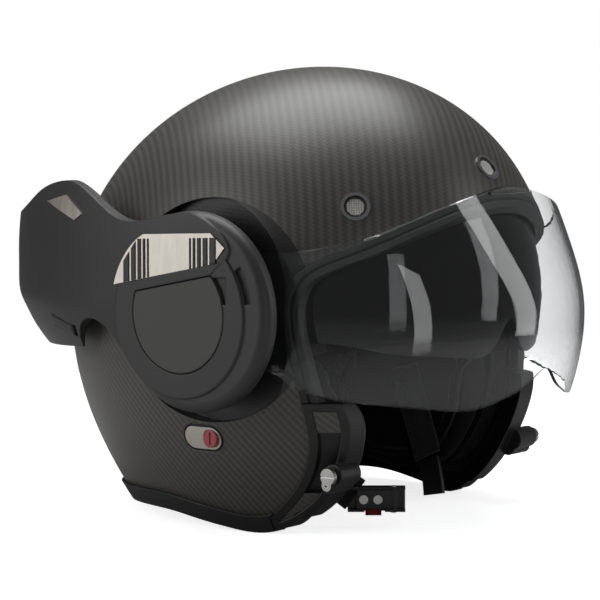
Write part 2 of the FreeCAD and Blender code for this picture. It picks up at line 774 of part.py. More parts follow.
def bar_cavity(inset):
    """The room inside the bar for its foam, in side view, drawn in by inset."""
    top = shifted(CAVITY_TOP, -inset)
    bottom = shifted(CAVITY_BOTTOM, -inset)
    return slab([top, [top[-1], bottom[0]], bottom, [bottom[-1], (66 + inset, 120)],
                 [(66 + inset, 120), top[0]]])


def release_well(margin):
    """The pocket in the bar's edge that the release button slides in."""
    return Part.makeBox(36 + 2 * margin, 9 + 2 * margin, 30, at(-18 - margin, 160.5 - margin, 157))


def cap_outline(gap):
    """Everything below the straight top of the pivot caps."""
    return slab([[(-80, 153.4 - gap), (60, 124.8 - gap)], [(60, 124.8 - gap), (60, 60)],
                 [(60, 60), (-80, 60)]])


def rounded_front(disc, side, radius):
    """A disc with its outer front edge rounded."""
    front = [edge for edge in disc.Edges
             if edge.Closed and side * (edge.CenterOfMass.x - disc.CenterOfMass.x) > 1]
    return disc.makeFillet(radius, front)


def make_chin_bar():
    outline = slab([BAR_TOP, [BAR_TOP[-1], BAR_BOTTOM[0]], BAR_BOTTOM, BAR_NOTCH, BAR_FRONT,
                    BAR_SHOULDER])
    face = size("arm_face")
    shell = bar_form(0).cut(bar_hollow(0)).common(outline)
    room = bar_form(-size("chin_wall")).cut(bar_hollow(-5)).common(bar_cavity(0))
    shell = shell.cut(room)
    for _, side in SIDES:
        ring = rod(side, size("ring_radius"), size("ring_back"), size("ring_face"), *RING)
        disc = rod(side, size("face_radius"), size("ring_back"), face, *PIVOT)
        shell = shell.fuse(rounded_front(ring, side, size("ring_edge")))
        shell = shell.fuse(rounded_front(disc, side, 1.0))
        shell = shell.cut(rod(side, size("plate_radius") + 0.4, 110, 131.4, *PIVOT))
        well = rod(side, size("cap_well_radius"), size("cap_well_floor"), 150, *PIVOT)
        shell = shell.cut(well.common(cap_outline(0)))
        groove = rod(side, 51, 133.4, 150, *PIVOT).cut(rod(side, 46.5, 130, 155, *PIVOT))
        wedge = slab([[PIVOT, (-120, 190)], [(-120, 190), (-120, 140)]])
        shell = shell.cut(groove.common(wedge))
    shell = shell.cut(slab(BADGE).cut(Part.makeBox(
        270.4, 300, 200, at(-135.2, -150, 50))))
    notch = slab([[(-40.6, 144), (-50.5, 144.5)], [(-50.5, 144.5), (-50.5, 130)],
                  [(-50.5, 130), (-47, 130)], [(-47, 130), (-45, 139)]])
    shell = shell.cut(notch.cut(Part.makeBox(269.6, 300, 200, at(-134.8, -150, 50))))
    patches = slab(CHIN_PLATE).fuse(slab(CHIN_INSERT)).cut(bar_form(-1.0))
    slot = slab([[(68.4, 104.6), (68.4, 111)], [(68.4, 111), (71.8, 111)],
                 [(71.8, 111), (71.8, 104.6)]])
    shell = shell.cut(patches).cut(slot.cut(bar_form(-2))).cut(release_well(0.5))
    keep("chin_bar_shell", shaped("chin_bar_shell", shell.removeSplitter()))


def make_chin_bar_inside():
    """The foam core and the inner cover that closes the bar's back."""
    foam = bar_form(-size("chin_wall") - size("fit_gap")).cut(bar_hollow(3.1))
    foam = foam.common(bar_cavity(size("fit_gap"))).cut(release_well(0.5))
    cover = bar_hollow(2.8).cut(bar_hollow(0)).common(bar_cavity(size("fit_gap")))
    cover = cover.common(bar_form(-size("chin_wall") - size("fit_gap")))
    keep("chin_bar_foam", shaped("chin_bar_foam", foam))
    keep("chin_bar_cover", shaped("chin_bar_cover", cover.cut(release_well(0.5))))


def make_arm_plates():
    """The metal plate in each arm that turns on the hub."""
    for name, side in SIDES:
        plate = turned(f"arm_plate_{name}",
                       [("sizes.plate_radius", "0", "sizes.plate_rim_height")],
                       [("sizes.plate_rim_inner", "sizes.plate_thickness", "20"),
                        ("sizes.hub_clearance", "-1", "8")])
        plate.Placement = facing(at(side * size("plate_start"), *PIVOT), outward(side))
        keep(f"arm_plate_{name}", plate)


def make_caps_and_badges():
    for name, side in SIDES:
        disc = cylinder(f"cap_disc_{name}", "cap_radius", "cap_thickness",
                        facing(at(side * (size("cap_well_floor") + 0.1), *PIVOT),
                               outward(side)))
        flat = shaped(f"cap_flat_{name}", cap_outline(0.7))
        cap = doc.addObject("Part::Common", f"pivot_cap_{name}")
        cap.Base = disc
        cap.Tool = flat
        keep(f"pivot_cap_{name}", cap)
        ends = sorted((side * 135.2, side * 137.7))
        badge = prism(BADGE, side_view, *ends)
        keep(f"side_badge_{name}", shaped(f"side_badge_{name}", badge))
        ends = sorted((side * 137.7, side * 138.0))
        bars = [prism(bar, side_view, *ends) for bar in badge_bars()]
        keep(f"badge_bars_{name}", shaped(f"badge_bars_{name}", Part.makeCompound(bars)))
        plate = bar_form(0.5).cut(bar_form(-1.0)).common(slab(CHIN_PLATE)).common(half(side))
        keep(f"chin_plate_{name}", shaped(f"chin_plate_{name}", plate))
        insert = bar_form(0.2).cut(bar_form(-1.0)).common(slab(CHIN_INSERT)).common(half(side))
        keep(f"chin_insert_{name}", shaped(f"chin_insert_{name}", insert))


def badge_bars():
    """Plain upright bars of falling width from each end of a badge."""
    bars = []
    for start, way in ((21.5, -1), (-44.5, 1)):
        position = start
        for width in (4.2, 3.2, 2.4, 1.6, 1.0):
            near = position
            far = position + way * width
            low = [(y, 142.8 - 0.2 * y) for y in (near, far)]
            high = [(y, min(163.2 - 0.05 * y, 177 - 1.25 * y)) for y in (near, far)]
            bars.append([[low[0], low[1]], [low[1], high[1]], [high[1], high[0]]])
            position = far + way * 1.5
    return bars


def make_latch():
    """A spring button in the bar's edge and the two catches that it draws back."""
    button = Part.makeBox(36, 9, 9, at(-18, 160.5, 161.5))
    button = button.makeFillet(1.5, button.Edges)
    keep("chin_release_button", shaped("chin_release_button", button))
    along = Vector(0, math.cos(math.radians(LATCH_WAY)), math.sin(math.radians(LATCH_WAY)))
    for name, side in SIDES:
        pin = at(side * (size("striker_foot") + 0.8), *STRIKER)
        plate = oriented_box(pin, along, side, (-10, 1.5), 5.6, (0, 1.4))
        notch = oriented_box(pin, along, side, (0, 6), 3.4, (-1, 3))
        hole = Part.makeCylinder(3.4, 4, pin - outward(side), outward(side))
        arm = oriented_box(pin, along, side, (-10, -6), 5.6, (0, 14))
        catch = plate.fuse(arm).cut(notch).cut(hole)
        catch.rotate(at(0, *PIVOT), Vector(1, 0, 0), -size("chin_swing"))
        keep(f"latch_catch_{name}", shaped(f"latch_catch_{name}", catch.removeSplitter()))
        housing = oriented_box(pin, along, side, (-14, -3), 8, (14.4, 30.5))
        housing.rotate(at(0, *PIVOT), Vector(1, 0, 0), -size("chin_swing"))
        housing = housing.common(bar_hollow(-0.1))
        keep(f"latch_housing_{name}", shaped(f"latch_housing_{name}", housing))


def oriented_box(origin, along, side, reach, half_width, depth):
    """A block laid along a direction in the side view and outward from origin."""
    length = reach[1] - reach[0]
    box = Part.makeBox(length, 2 * half_width, depth[1] - depth[0],
                       Vector(reach[0], -half_width, depth[0]))
    across = outward(side).cross(along)
    turn = Rotation(along, across, outward(side), "ZXY")
    box.Placement = Placement(origin, turn)
    return box


# ---------------------------------------------------------------- chin strap

BUCKLE = at(-43.8, -78.8, 16.5)
BUCKLE_LONG = Vector(0.618, -0.786, 0)
BUCKLE_OUT = Vector(-0.786, -0.618, 0)


def ribbon(stations, width, thickness):
    """Webbing skinned over stations of (centre, direction of the flat side's normal)."""
    wires = []
    for index, (centre, normal) in enumerate(stations):
        before = stations[max(index - 1, 0)][0]
        after = stations[min(index + 1, len(stations) - 1)][0]
        way = (after - before).normalize()
        across = way.cross(normal).normalize() * (width / 2)
        depth = across.cross(way).normalize() * (thickness / 2)
        corners = [centre + across + depth, centre - across + depth,
                   centre - across - depth, centre + across - depth]
        wires.append(Part.makePolygon(corners + [corners[0]]))
    return Part.makeLoft(wires, True, False)


def buckle_block(length, height, depth, along, up, out):
    """A block on the buckle's axes, its low corner offset from the buckle's centre."""
    box = Part.makeBox(length, height, depth, Vector(along, up, out))
    box.Placement = Placement(BUCKLE, Rotation(BUCKLE_LONG, Vector(0, 0, 1), BUCKLE_OUT, "ZXY"))
    return box


def buckle_pivot(radius, length):
    """An upright cylinder about the pin that the buckle's lever turns on."""
    foot = BUCKLE + BUCKLE_LONG * 11.5 - Vector(0, 0, length / 2)
    return Part.makeCylinder(radius, length, foot, Vector(0, 0, 1))


def make_chin_strap():
    inward = Vector(1, 0, 0)
    right = [(at(-58.3, -26, 78), inward), (at(-58, -34, 58), inward),
             (at(-56, -46, 40), inward), (at(-51, -59.8, 25.6), Vector(0.9, 0.3, 0)),
             (at(-48.3, -69.8, 18.5), Vector(0.8, 0.5, 0))]
    left = [(at(58.3, -26, 78), inward), (at(58, -32, 58), inward),
            (at(56, -40, 40), inward), (at(53, -47, 26), inward)]
    keep("strap_right", shaped("strap_right", ribbon(right, 20, 1.6)))
    keep("strap_left", shaped("strap_left", ribbon(left, 20, 1.6)))
    straps = nodes["strap_right"].Shape.fuse(nodes["strap_left"].Shape)
    anchors = [Part.makeCylinder(4, 1.2, at(side * 56.4, -26, 72), outward(side)).cut(straps)
               for _, side in SIDES]
    keep("strap_anchors", shaped("strap_anchors", Part.makeCompound(anchors)))
    tongue = ribbon([(at(52.6, -48, 24.5), inward), (at(51, -52, 14), inward),
                     (at(50, -54, 4), inward)], 14, 2.4)
    tongue = tongue.cut(nodes["strap_left"].Shape)
    keep("strap_tongue", shaped("strap_tongue", tongue))
    frame = buckle_block(32, 14, 1.6, -14, -7, -4)
    frame = frame.fuse(buckle_block(32, 1.4, 6, -14, -7, -4))
    frame = frame.fuse(buckle_block(32, 1.4, 6, -14, 5.6, -4))
    frame = frame.cut(nodes["strap_right"].Shape).cut(buckle_block(11.4, 2.6, 8, -4.7, -7.6, -2.2))
    lever = buckle_block(20.5, 10.8, 2.2, -9, -5.4, -0.2)
    lever = lever.fuse(buckle_pivot(2.3, 10.8)).cut(buckle_pivot(1.75, 14))
    pin = buckle_pivot(1.6, 15)
    rivets = [Part.makeCylinder(2.5, 0.9, BUCKLE + BUCKLE_LONG * x + BUCKLE_OUT * 2.0, BUCKLE_OUT)
              for x in (-5.2, 2.7)]
    tab = buckle_block(9, 7, 1.2, -4.2, -12.6, -1)
    keep("buckle_frame", shaped("buckle_frame", frame.cut(pin).removeSplitter()))
    keep("buckle_pin", shaped("buckle_pin", pin))
    keep("buckle_rivets", shaped("buckle_rivets", Part.makeCompound(rivets)))
    keep("buckle_lever", shaped("buckle_lever", lever.removeSplitter()))
    keep("release_tab", shaped("release_tab", tab))


# ---------------------------------------------------------------- build and write

for make in (make_outer_shell, make_rim_trim, make_port_gasket, make_foam_liner,
             make_crown_lining, make_cheek_pads, make_neck_roll, make_cheek_trims,
             make_strikers, make_vents, make_sun_visor_button, make_pivots, make_visor,
             make_sun_visor, make_chin_bar, make_chin_bar_inside, make_arm_plates,
             make_caps_and_badges, make_latch, make_chin_strap):
    make()
doc.recompute()

for thing in doc.Objects:
    if "Invalid" in thing.State or "Error" in thing.State:
        raise RuntimeError(f"{thing.Name} failed: {thing.State}")
for name, thing in nodes.items():
    if thing.Shape.isNull() or not thing.Shape.isValid() or not thing.Shape.Solids:
        raise RuntimeError(f"{name} has no valid solid")

os.makedirs("parts", exist_ok=True)
for name, thing in nodes.items():
    thing.Shape.exportStep(f"parts/{name}.step")
print(len(nodes), "sub-parts written")
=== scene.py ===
import json
import math

import bmesh
import bpy
from bpy.props import FloatProperty, FloatVectorProperty, IntProperty, PointerProperty
from mathutils import Matrix, Vector
from mathutils.bvhtree import BVHTree
from mathutils.kdtree import KDTree


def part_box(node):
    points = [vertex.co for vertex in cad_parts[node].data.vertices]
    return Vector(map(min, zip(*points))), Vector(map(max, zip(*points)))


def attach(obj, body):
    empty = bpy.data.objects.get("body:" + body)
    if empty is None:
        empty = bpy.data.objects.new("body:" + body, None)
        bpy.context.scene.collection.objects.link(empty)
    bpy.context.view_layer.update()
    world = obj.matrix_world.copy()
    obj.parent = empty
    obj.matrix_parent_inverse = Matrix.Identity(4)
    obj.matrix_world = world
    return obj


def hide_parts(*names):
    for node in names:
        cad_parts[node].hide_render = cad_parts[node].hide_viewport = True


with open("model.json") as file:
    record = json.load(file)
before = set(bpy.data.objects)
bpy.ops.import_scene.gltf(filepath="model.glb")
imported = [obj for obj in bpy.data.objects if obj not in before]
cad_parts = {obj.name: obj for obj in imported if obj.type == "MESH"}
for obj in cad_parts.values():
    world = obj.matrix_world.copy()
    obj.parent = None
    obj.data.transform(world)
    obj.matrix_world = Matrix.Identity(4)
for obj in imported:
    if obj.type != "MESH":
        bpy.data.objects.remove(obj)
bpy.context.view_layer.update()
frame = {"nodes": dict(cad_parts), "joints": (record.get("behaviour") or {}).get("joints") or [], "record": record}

bl_info = {
    "name": "Motorcycle Helmet Finishes",
    "version": (1, 0, 0),
    "blender": (4, 5, 0),
    "location": "3D View > Sidebar > Helmet",
    "description": "Gives a motorcycle helmet its weave, paint, lenses, lining and webbing",
    "category": "Object",
}

NODES = frame["nodes"]
JOINTS = {joint["name"]: joint for joint in frame["joints"]}
PIVOT = Vector(JOINTS["chin_bar_hinge"]["pos_m"])
HEAD_Y = frame["record"]["mounts"][0]["pos_m"][1]
EQUATOR = 0.126
RECESS = PIVOT + Vector((0.0, -0.0063, 0.0012))
RECESS_SIDE = 0.1
BEAD_SCALE = 330.0
PAD_SHRINK = 0.0009
SEAM_WIDTH = 0.003
MERGE_DISTANCE = 0.00001
SIDES = (("right", -1), ("left", 1))


# ---------------------------------------------------------------- settings

def colour_setting(name, description, default):
    return FloatVectorProperty(name=name, description=description, default=default,
                               subtype="COLOR", size=3, min=0.0, max=1.0)


def length_setting(name, description, default):
    return FloatProperty(name=name, description=description, default=default,
                         subtype="DISTANCE", unit="LENGTH", min=0.0, precision=5)


def share_setting(name, description, default):
    return FloatProperty(name=name, description=description, default=default,
                         subtype="FACTOR", min=0.0, max=1.0)


class HelmetShellSettings(bpy.types.PropertyGroup):
    tow_width: length_setting("Tow width", "Width of one flat carbon thread", 0.0017)
    # The two thread colours paint the directional sheen of one black carbon fibre: threads along the helmet are
    # painted lit, threads across it are painted dim.
    sheen_lit_thread: colour_setting("Light thread", "Threads along the helmet", (0.082, 0.077, 0.070))
    sheen_dim_thread: colour_setting("Dark thread", "Threads across the helmet", (0.046, 0.044, 0.041))
    lacquer_roughness: share_setting("Lacquer roughness", "How matt the clear lacquer is", 0.42)
    thread_relief: length_setting("Thread relief", "Height of a thread over its gap", 0.00005)
    # Radius of the painted shade: the shell inside the pocket round each arm is painted near-black.
    recess_shade_radius: length_setting("Recess radius", "Black round pocket of each arm", 0.0613)


class HelmetBarSettings(bpy.types.PropertyGroup):
    bar_colour: colour_setting("Bar paint", "Matt paint of the chin bar", (0.030, 0.030, 0.031))
    cap_colour: colour_setting("Cap paint", "Lighter paint of pivot caps", (0.066, 0.065, 0.062))
    plastic_colour: colour_setting("Plastic", "Bare moulded plastic", (0.013, 0.013, 0.013))
    rubber_colour: colour_setting("Rubber", "Edge trim and gasket", (0.014, 0.014, 0.014))
    edge_radius: length_setting("Edge radius", "Rounding that edges catch light on", 0.0014)


class HelmetLensSettings(bpy.types.PropertyGroup):
    clear_tint: colour_setting("Clear lens", "Tint of the outer visor", (0.97, 0.98, 0.985))
    smoke_tint: colour_setting("Smoke lens", "Tint of the sun visor", (0.010, 0.010, 0.012))
    refraction: FloatProperty(name="Refraction", description="Index of the lens plastic",
                              default=1.5, min=1.0, max=2.0)


class HelmetLiningSettings(bpy.types.PropertyGroup):
    fabric_colour: colour_setting("Fabric", "Knitted lining fabric", (0.005, 0.005, 0.0055))
    thread_colour: colour_setting("Thread", "Sewing thread", (0.05, 0.05, 0.052))
    red_colour: colour_setting("Red webbing", "Release tab", (0.20, 0.010, 0.014))
    cell: length_setting("Cell", "Size of the remeshed cells", 0.005)
    pressure: FloatProperty(name="Pressure", description="Air pressure that fills a pad",
                            default=4.0, min=0.0, max=20.0)
    swell_limit: length_setting("Swell limit", "Furthest that a point may move", 0.003)
    frames: IntProperty(name="Frames", description="Simulated frames", default=20, min=1, max=60)
    stitch_pitch: length_setting("Stitch pitch", "Distance from stitch to stitch", 0.0032)


class HelmetMetalSettings(bpy.types.PropertyGroup):
    steel_colour: colour_setting("Steel", "Pins, screws and mesh", (0.58, 0.57, 0.55))
    badge_colour: colour_setting("Badge", "Satin badge metal", (0.62, 0.59, 0.53))
    red_colour: colour_setting("Button", "Push button", (0.36, 0.016, 0.030))
    wire_pitch: length_setting("Wire pitch", "Distance between mesh wires", 0.0013)
    wire_radius: length_setting("Wire radius", "Half the thickness of a mesh wire", 0.00030)


class HelmetStageSettings(bpy.types.PropertyGroup):
    azimuth: FloatProperty(name="Azimuth", description="Camera's bearing from the front",
                           default=math.radians(-51.81), subtype="ANGLE")
    elevation: FloatProperty(name="Elevation", description="Camera's height above the horizon",
                             default=math.radians(4.77), subtype="ANGLE")
    distance: length_setting("Distance", "From the camera to the helmet's middle", 1.46365)
    lens: FloatProperty(name="Lens", description="Focal length in millimetres", default=150.1,
                        min=10.0, max=400.0)
    aim_height: length_setting("Aim height", "Height that the camera looks at", 0.131)
    light: FloatProperty(name="Light", description="Strength of the studio lamps", default=1.0,
                         min=0.0, max=10.0)


SETTINGS = (("shell", HelmetShellSettings), ("bar", HelmetBarSettings),
            ("lens", HelmetLensSettings), ("lining", HelmetLiningSettings),
            ("metal", HelmetMetalSettings), ("stage", HelmetStageSettings))


def settings(part):
    return getattr(bpy.context.scene, f"helmet_{part}")


# ---------------------------------------------------------------- node helpers

class Value:
    """A node's output. Arithmetic on it adds Math nodes to its tree."""

    def __init__(self, tree, socket):
        self.tree = tree
        self.socket = socket

    def __add__(self, other):
        return calc("ADD", self, other)

    def __sub__(self, other):
        return calc("SUBTRACT", self, other)

    def __rsub__(self, other):
        return calc("SUBTRACT", other, self)

    def __mul__(self, other):
        return calc("MULTIPLY", self, other)

    def __truediv__(self, other):
        return calc("DIVIDE", self, other)


def join(given, socket):
    """Feed a socket from a node's output, or set it to a constant."""
    if isinstance(given, Value):
        given.tree.links.new(given.socket, socket)
    else:
        socket.default_value = given


def put(tree, kind, feeds=None, **choices):
    """Add a node, set its choices and feed its named or numbered inputs."""
    made = tree.nodes.new(kind)
    for choice, setting in choices.items():
        setattr(made, choice, setting)
    for key, given in (feeds or {}).items():
        join(given, made.inputs[key])
    return made


def value(kind, feeds, output=0, tree=None, **choices):
    """The result of a new node, in the tree of the outputs that feed it."""
    tree = tree or next(given.tree for given in feeds.values() if isinstance(given, Value))
    return Value(tree, put(tree, kind, feeds, **choices).outputs[output])


def values_of(tree, node):
    """All of a node's outputs, by name."""
    return {socket.name: Value(tree, socket) for socket in node.outputs}


def calc(operation, *terms):
    return value("ShaderNodeMath", dict(enumerate(terms)), operation=operation)


def mixed(share, low, high):
    """low where share is 0 and high where it is 1."""
    return value("ShaderNodeMix", {0: share, 2: low, 3: high}, data_type="FLOAT")


def blended(share, low, high):
    """The same for two colours."""
    return value("ShaderNodeMix", {0: share, 6: low, 7: high}, 2, data_type="RGBA")


def noise(place, scale, detail=2.0):
    return value("ShaderNodeTexNoise", {"Vector": place, "Scale": scale, "Detail": detail})


def split(vector):
    """A vector's X, Y and Z."""
    node = put(vector.tree, "ShaderNodeSeparateXYZ", {0: vector})
    return list(values_of(vector.tree, node).values())


def combined(x=0.0, y=0.0, z=0.0):
    """The vector of an X, Y and Z, of which one is a node's output."""
    return value("ShaderNodeCombineXYZ", {0: x, 1: y, 2: z})


def scaled(colour, gain):
    """A colour made lighter or darker."""
    return value("ShaderNodeVectorMath", {0: colour, "Scale": gain}, operation="SCALE")


def bumped(height, distance, normal=None):
    """A normal that leans as if the surface had this height."""
    feeds = {"Height": height, "Distance": distance}
    if normal:
        feeds["Normal"] = normal
    return value("ShaderNodeBump", feeds)


def ramp(given, start, end):
    """0 up to start and 1 from end."""
    return value("ShaderNodeMapRange", {"Value": given, "From Min": start, "From Max": end})


def grey(level):
    return (level, level, level, 1.0)


def opaque(colour):
    return (*colour, 1.0)


FLOAT = "NodeSocketFloat"
VECTOR = "NodeSocketVector"
COLOUR = "NodeSocketColor"
GEOMETRY = "NodeSocketGeometry"
MATERIAL = "NodeSocketMaterial"
SURFACE = {"Colour": COLOUR, "Roughness": FLOAT, "Normal": VECTOR}


def new_group(name, kind, feeds, results):
    """A node group with inputs (name: type and default), and how its outputs are given."""
    tree = bpy.data.node_groups.new(name, kind)
    for label, (socket, default) in feeds.items():
        made = tree.interface.new_socket(label, in_out="INPUT", socket_type=socket)
        if default is not None:
            made.default_value = default
    for label, socket in results.items():
        tree.interface.new_socket(label, in_out="OUTPUT", socket_type=socket)
    given = values_of(tree, tree.nodes.new("NodeGroupInput"))
    end = tree.nodes.new("NodeGroupOutput").inputs

    def give(**outputs):
        for label, output in outputs.items():
            join(output, end[label])
        return tree

    return tree, given, give


def shader_group(name, results, **feeds):
    """A shared effect whose patterns are read at a vector."""
    feeds = {label.replace("_", " "): feed for label, feed in feeds.items()}
    return new_group(name, "ShaderNodeTree", {"Vector": (VECTOR, None), **feeds}, results)[1:]


def effect(name, feeds):
    """Place a shared effect in a material, built the first time it is asked for."""
    tree = feeds["Vector"].tree
    made = tree.nodes.new("ShaderNodeGroup")
    made.node_tree = bpy.data.node_groups.get(name) or EFFECTS[name](name)
    for label, given in feeds.items():
        join(given, made.inputs[label])
    return values_of(tree, made)


def make_moulded_group(name):
    """Fine grain, faint mottling and lighter, smoother edges of a moulded or painted skin."""
    given, give = shader_group(
        name, SURFACE, Colour=(COLOUR, grey(0.5)), Roughness=(FLOAT, 0.5),
        Grain_Scale=(FLOAT, 1800.0), Grain_Depth=(FLOAT, 0.00003), Mottle=(FLOAT, 0.08),
        Edge_Normal=(VECTOR, None), Edge_Wear=(FLOAT, 0.3))
    fine = noise(given["Vector"], given["Grain Scale"], 3.0)
    cloud = noise(given["Vector"], 38.0, 4.0)
    face = value("ShaderNodeNewGeometry", {}, "Normal", fine.tree)
    agree = value("ShaderNodeVectorMath", {0: face, 1: given["Edge Normal"]}, "Value",
                  operation="DOT_PRODUCT")
    worn = ramp(agree, 0.995, 0.86) * given["Edge Wear"] * (cloud + 0.45)
    swing = (cloud - 0.5) * given["Mottle"]
    tone = scaled(given["Colour"], swing * 2.0 + 1.0)
    lighter = value("ShaderNodeVectorMath", {0: tone, 1: (0.035, 0.035, 0.036)},
                    operation="ADD")
    return give(Colour=blended(worn, tone, lighter),
                Roughness=given["Roughness"] + swing - worn * 0.12,
                Normal=bumped(fine, given["Grain Depth"], given["Edge Normal"]))


def make_drape_group(name):
    """Metres of cloth across and along the helmet, for a point of its shell."""
    given, give = shader_group(name, {"Vector": VECTOR}, Middle_Y=(FLOAT, 0.0),
                               Equator=(FLOAT, 0.126), Radius=(FLOAT, 0.13))
    x, y, z = split(given["Vector"])
    y = y - given["Middle Y"]
    z = z - given["Equator"]
    above = calc("MAXIMUM", z, 0.00001)
    half = math.sqrt(0.5)
    first = (x - y) * half
    second = (x + y) * half
    drop = calc("SIGN", second) * (above - z)
    span = calc("SQRT", second * second + above * above)
    turns = [calc("ARCTAN2", way, height) * given["Radius"] + drop
             for way, height in ((first, span), (second, above))]
    return give(Vector=combined((turns[1] + turns[0]) * half, (turns[1] - turns[0]) * half))


def make_twill_group(name):
    """Two-over-two twill: which thread is on top, and how high it stands."""
    given, give = shader_group(name, {"Warp": FLOAT, "Height": FLOAT},
                               Tow_Width=(FLOAT, 0.0015))
    counts = [way / given["Tow Width"] for way in split(given["Vector"])[:2]]
    whole = [calc("FLOOR", count) for count in counts]
    part = [calc("FRACT", count) for count in counts]
    step = calc("FLOORED_MODULO", whole[0] - whole[1], 4.0)
    warp = calc("LESS_THAN", step, 1.5)
    middles = [share - 0.5 for share in part]
    rounds = [1.0 - middle * middle * 3.4 for middle in middles]
    crown = mixed(warp, rounds[1], rounds[0])
    reach = mixed(warp, step - 2.0 + part[0], step + (1.0 - part[1]))
    arch = calc("SINE", reach * (math.pi / 2))
    return give(Warp=warp, Height=crown * (arch * 0.45 + 0.55))


def make_knit_group(name):
    """Brushed warp-knit fabric: fine loops with a soft, cloudy nap."""
    given, give = shader_group(name, SURFACE, Colour=(COLOUR, grey(0.5)),
                               Loop_Scale=(FLOAT, 700.0), Depth=(FLOAT, 0.0003))
    loops = value("ShaderNodeTexVoronoi", {"Vector": given["Vector"],
                                           "Scale": given["Loop Scale"]}, "Distance")
    nap = noise(given["Vector"], 90.0, 5.0)
    height = nap * 0.8 + (1.0 - loops)
    # The colour follows the height: the nap adds a random cloudy tone, and the hollows between loops are darker as
    # painted shade.
    return give(Colour=scaled(given["Colour"], height * 0.32 + 0.62),
                Roughness=nap * 0.15 + 0.82, Normal=bumped(height, given["Depth"]))


def make_brushed_group(name):
    """Long parallel scratches, for metal that was brushed one way."""
    given, give = shader_group(
        name, SURFACE, Colour=(COLOUR, grey(0.5)), Roughness=(FLOAT, 0.3),
        Stretch=(VECTOR, (60.0, 60.0, 4000.0)), Depth=(FLOAT, 0.000004))
    drawn = value("ShaderNodeVectorMath", {0: given["Vector"], 1: given["Stretch"]},
                  operation="MULTIPLY")
    lines = noise(drawn, 1.0, 3.0)
    patches = noise(given["Vector"], 120.0, 3.0)
    return give(Colour=scaled(given["Colour"], (lines + patches) * 0.22 + 0.78),
                Roughness=given["Roughness"] + (lines - 0.5) * 0.25,
                Normal=bumped(lines, given["Depth"]))


def make_webbing_group(name):
    """Flat woven webbing, read from a strap's own length and width in metres."""
    given, give = shader_group(name, SURFACE, Colour=(COLOUR, grey(0.5)),
                               Yarn=(FLOAT, 0.0009))
    weave = effect("twill_weave", {"Vector": given["Vector"], "Tow Width": given["Yarn"]})
    fuzz = noise(given["Vector"], 2500.0, 3.0)
    # Painted shade: the colour darkens where the weave is low, between the yarns, varied by the fuzz.
    return give(Colour=scaled(given["Colour"], weave["Height"] * (fuzz + 0.35) + 0.55),
                Roughness=fuzz * 0.2 + 0.68, Normal=bumped(weave["Height"], 0.0003))


EFFECTS = {
    "moulded_skin": make_moulded_group,
    "shell_drape": make_drape_group,
    "twill_weave": make_twill_group,
    "knit_fabric": make_knit_group,
    "brushed_metal": make_brushed_group,
    "woven_webbing": make_webbing_group,
}


# ---------------------------------------------------------------- finishes

def new_finish(name, **constants):
    """A material with its shader's constants set, and where its patterns are read."""
    material = bpy.data.materials.new(name)
    material.use_nodes = True
    shader = material.node_tree.nodes["Principled BSDF"]
    for label, constant in constants.items():
        shader.inputs[label.replace("_", " ")].default_value = constant
    place = value("ShaderNodeTexCoord", {}, "Object", material.node_tree)
    return material, shader, place


def feed(shader, outputs):
    """Link a surface effect's outputs to the shader."""
    for label, socket in (("Colour", "Base Color"), ("Roughness", "Roughness"),
                          ("Normal", "Normal")):
        join(outputs[label], shader.inputs[socket])


def soft_edge(tree):
    """Normals that run round an edge as if it had a small radius."""
    return value("ShaderNodeBevel", {"Radius": settings("bar").edge_radius}, tree=tree,
                 samples=6)


def moulded(name, colour, roughness, grain_scale=1800.0, grain_depth=0.00003, wear=0.3,
            **constants):
    """Painted or bare moulded skin."""
    material, shader, place = new_finish(name, **constants)
    feed(shader, effect("moulded_skin", {
        "Vector": place, "Colour": opaque(colour), "Roughness": roughness,
        "Grain Scale": grain_scale, "Grain Depth": grain_depth,
        "Edge Normal": soft_edge(place.tree), "Edge Wear": wear}))
    return material


def recess_shade_mask(place):
    """1 inside the round pockets that the chin bar's arms turn in, and 0 outside; the shell is painted near-black
    there as the pockets' shade.
    """
    x, y, z = split(place)
    y = y - RECESS.y
    z = z - RECESS.z
    reach = calc("SQRT", y * y + z * z)
    near = calc("LESS_THAN", reach, settings("shell").recess_shade_radius)
    return near * calc("GREATER_THAN", calc("ABSOLUTE", x), RECESS_SIDE)


def carbon(name, place_on, tow, gloss):
    """Carbon twill under matt lacquer, with painted sheen on its threads, painted shade in the weave's gaps and
    painted shade in the arm pockets; place_on turns a point into metres of cloth.
    """
    shell = settings("shell")
    material, shader, place = new_finish(name, Coat_Weight=gloss, Coat_Roughness=0.34,
                                         Specular_IOR_Level=0.5)
    weave = effect("twill_weave", {"Vector": place_on(place), "Tow Width": tow})
    # Painted sheen: warp threads take the lit colour and weft threads the dim one.
    threads = blended(weave["Warp"], opaque(shell.sheen_dim_thread), opaque(shell.sheen_lit_thread))
    # Painted shade: the threads darken where the weave is low, in the gaps between them.
    tone = scaled(threads, weave["Height"] * 0.18 + 0.84)
    skin = effect("moulded_skin", {
        # Painted shade: near-black shell inside the round pockets around the arms.
        "Vector": place, "Colour": blended(recess_shade_mask(place), tone, grey(0.006)),
        "Roughness": shell.lacquer_roughness, "Grain Scale": 2400.0, "Grain Depth": 0.00001,
        "Mottle": 0.06, "Edge Normal": soft_edge(place.tree), "Edge Wear": 0.15})
    feed(shader, {**skin, "Normal": bumped(weave["Height"], shell.thread_relief,
                                           skin["Normal"])})
    return material


def on_dome(place):
    """Cloth draped over the whole shell."""
    return effect("shell_drape", {"Vector": place, "Middle Y": HEAD_Y,
                                  "Equator": EQUATOR})["Vector"]


def from_the_side(place):
    """Cloth laid flat on a piece that faces sideways."""
    _, y, z = split(place)
    return combined(z, y)


def metal(name, colour, roughness, stretch=(300.0, 300.0, 300.0)):
    """Machined or brushed metal; stretch gives the direction of its scratches."""
    material, shader, place = new_finish(name, Metallic=1.0)
    feed(shader, effect("brushed_metal", {"Vector": place, "Colour": opaque(colour),
                                          "Roughness": roughness, "Stretch": stretch}))
    return material


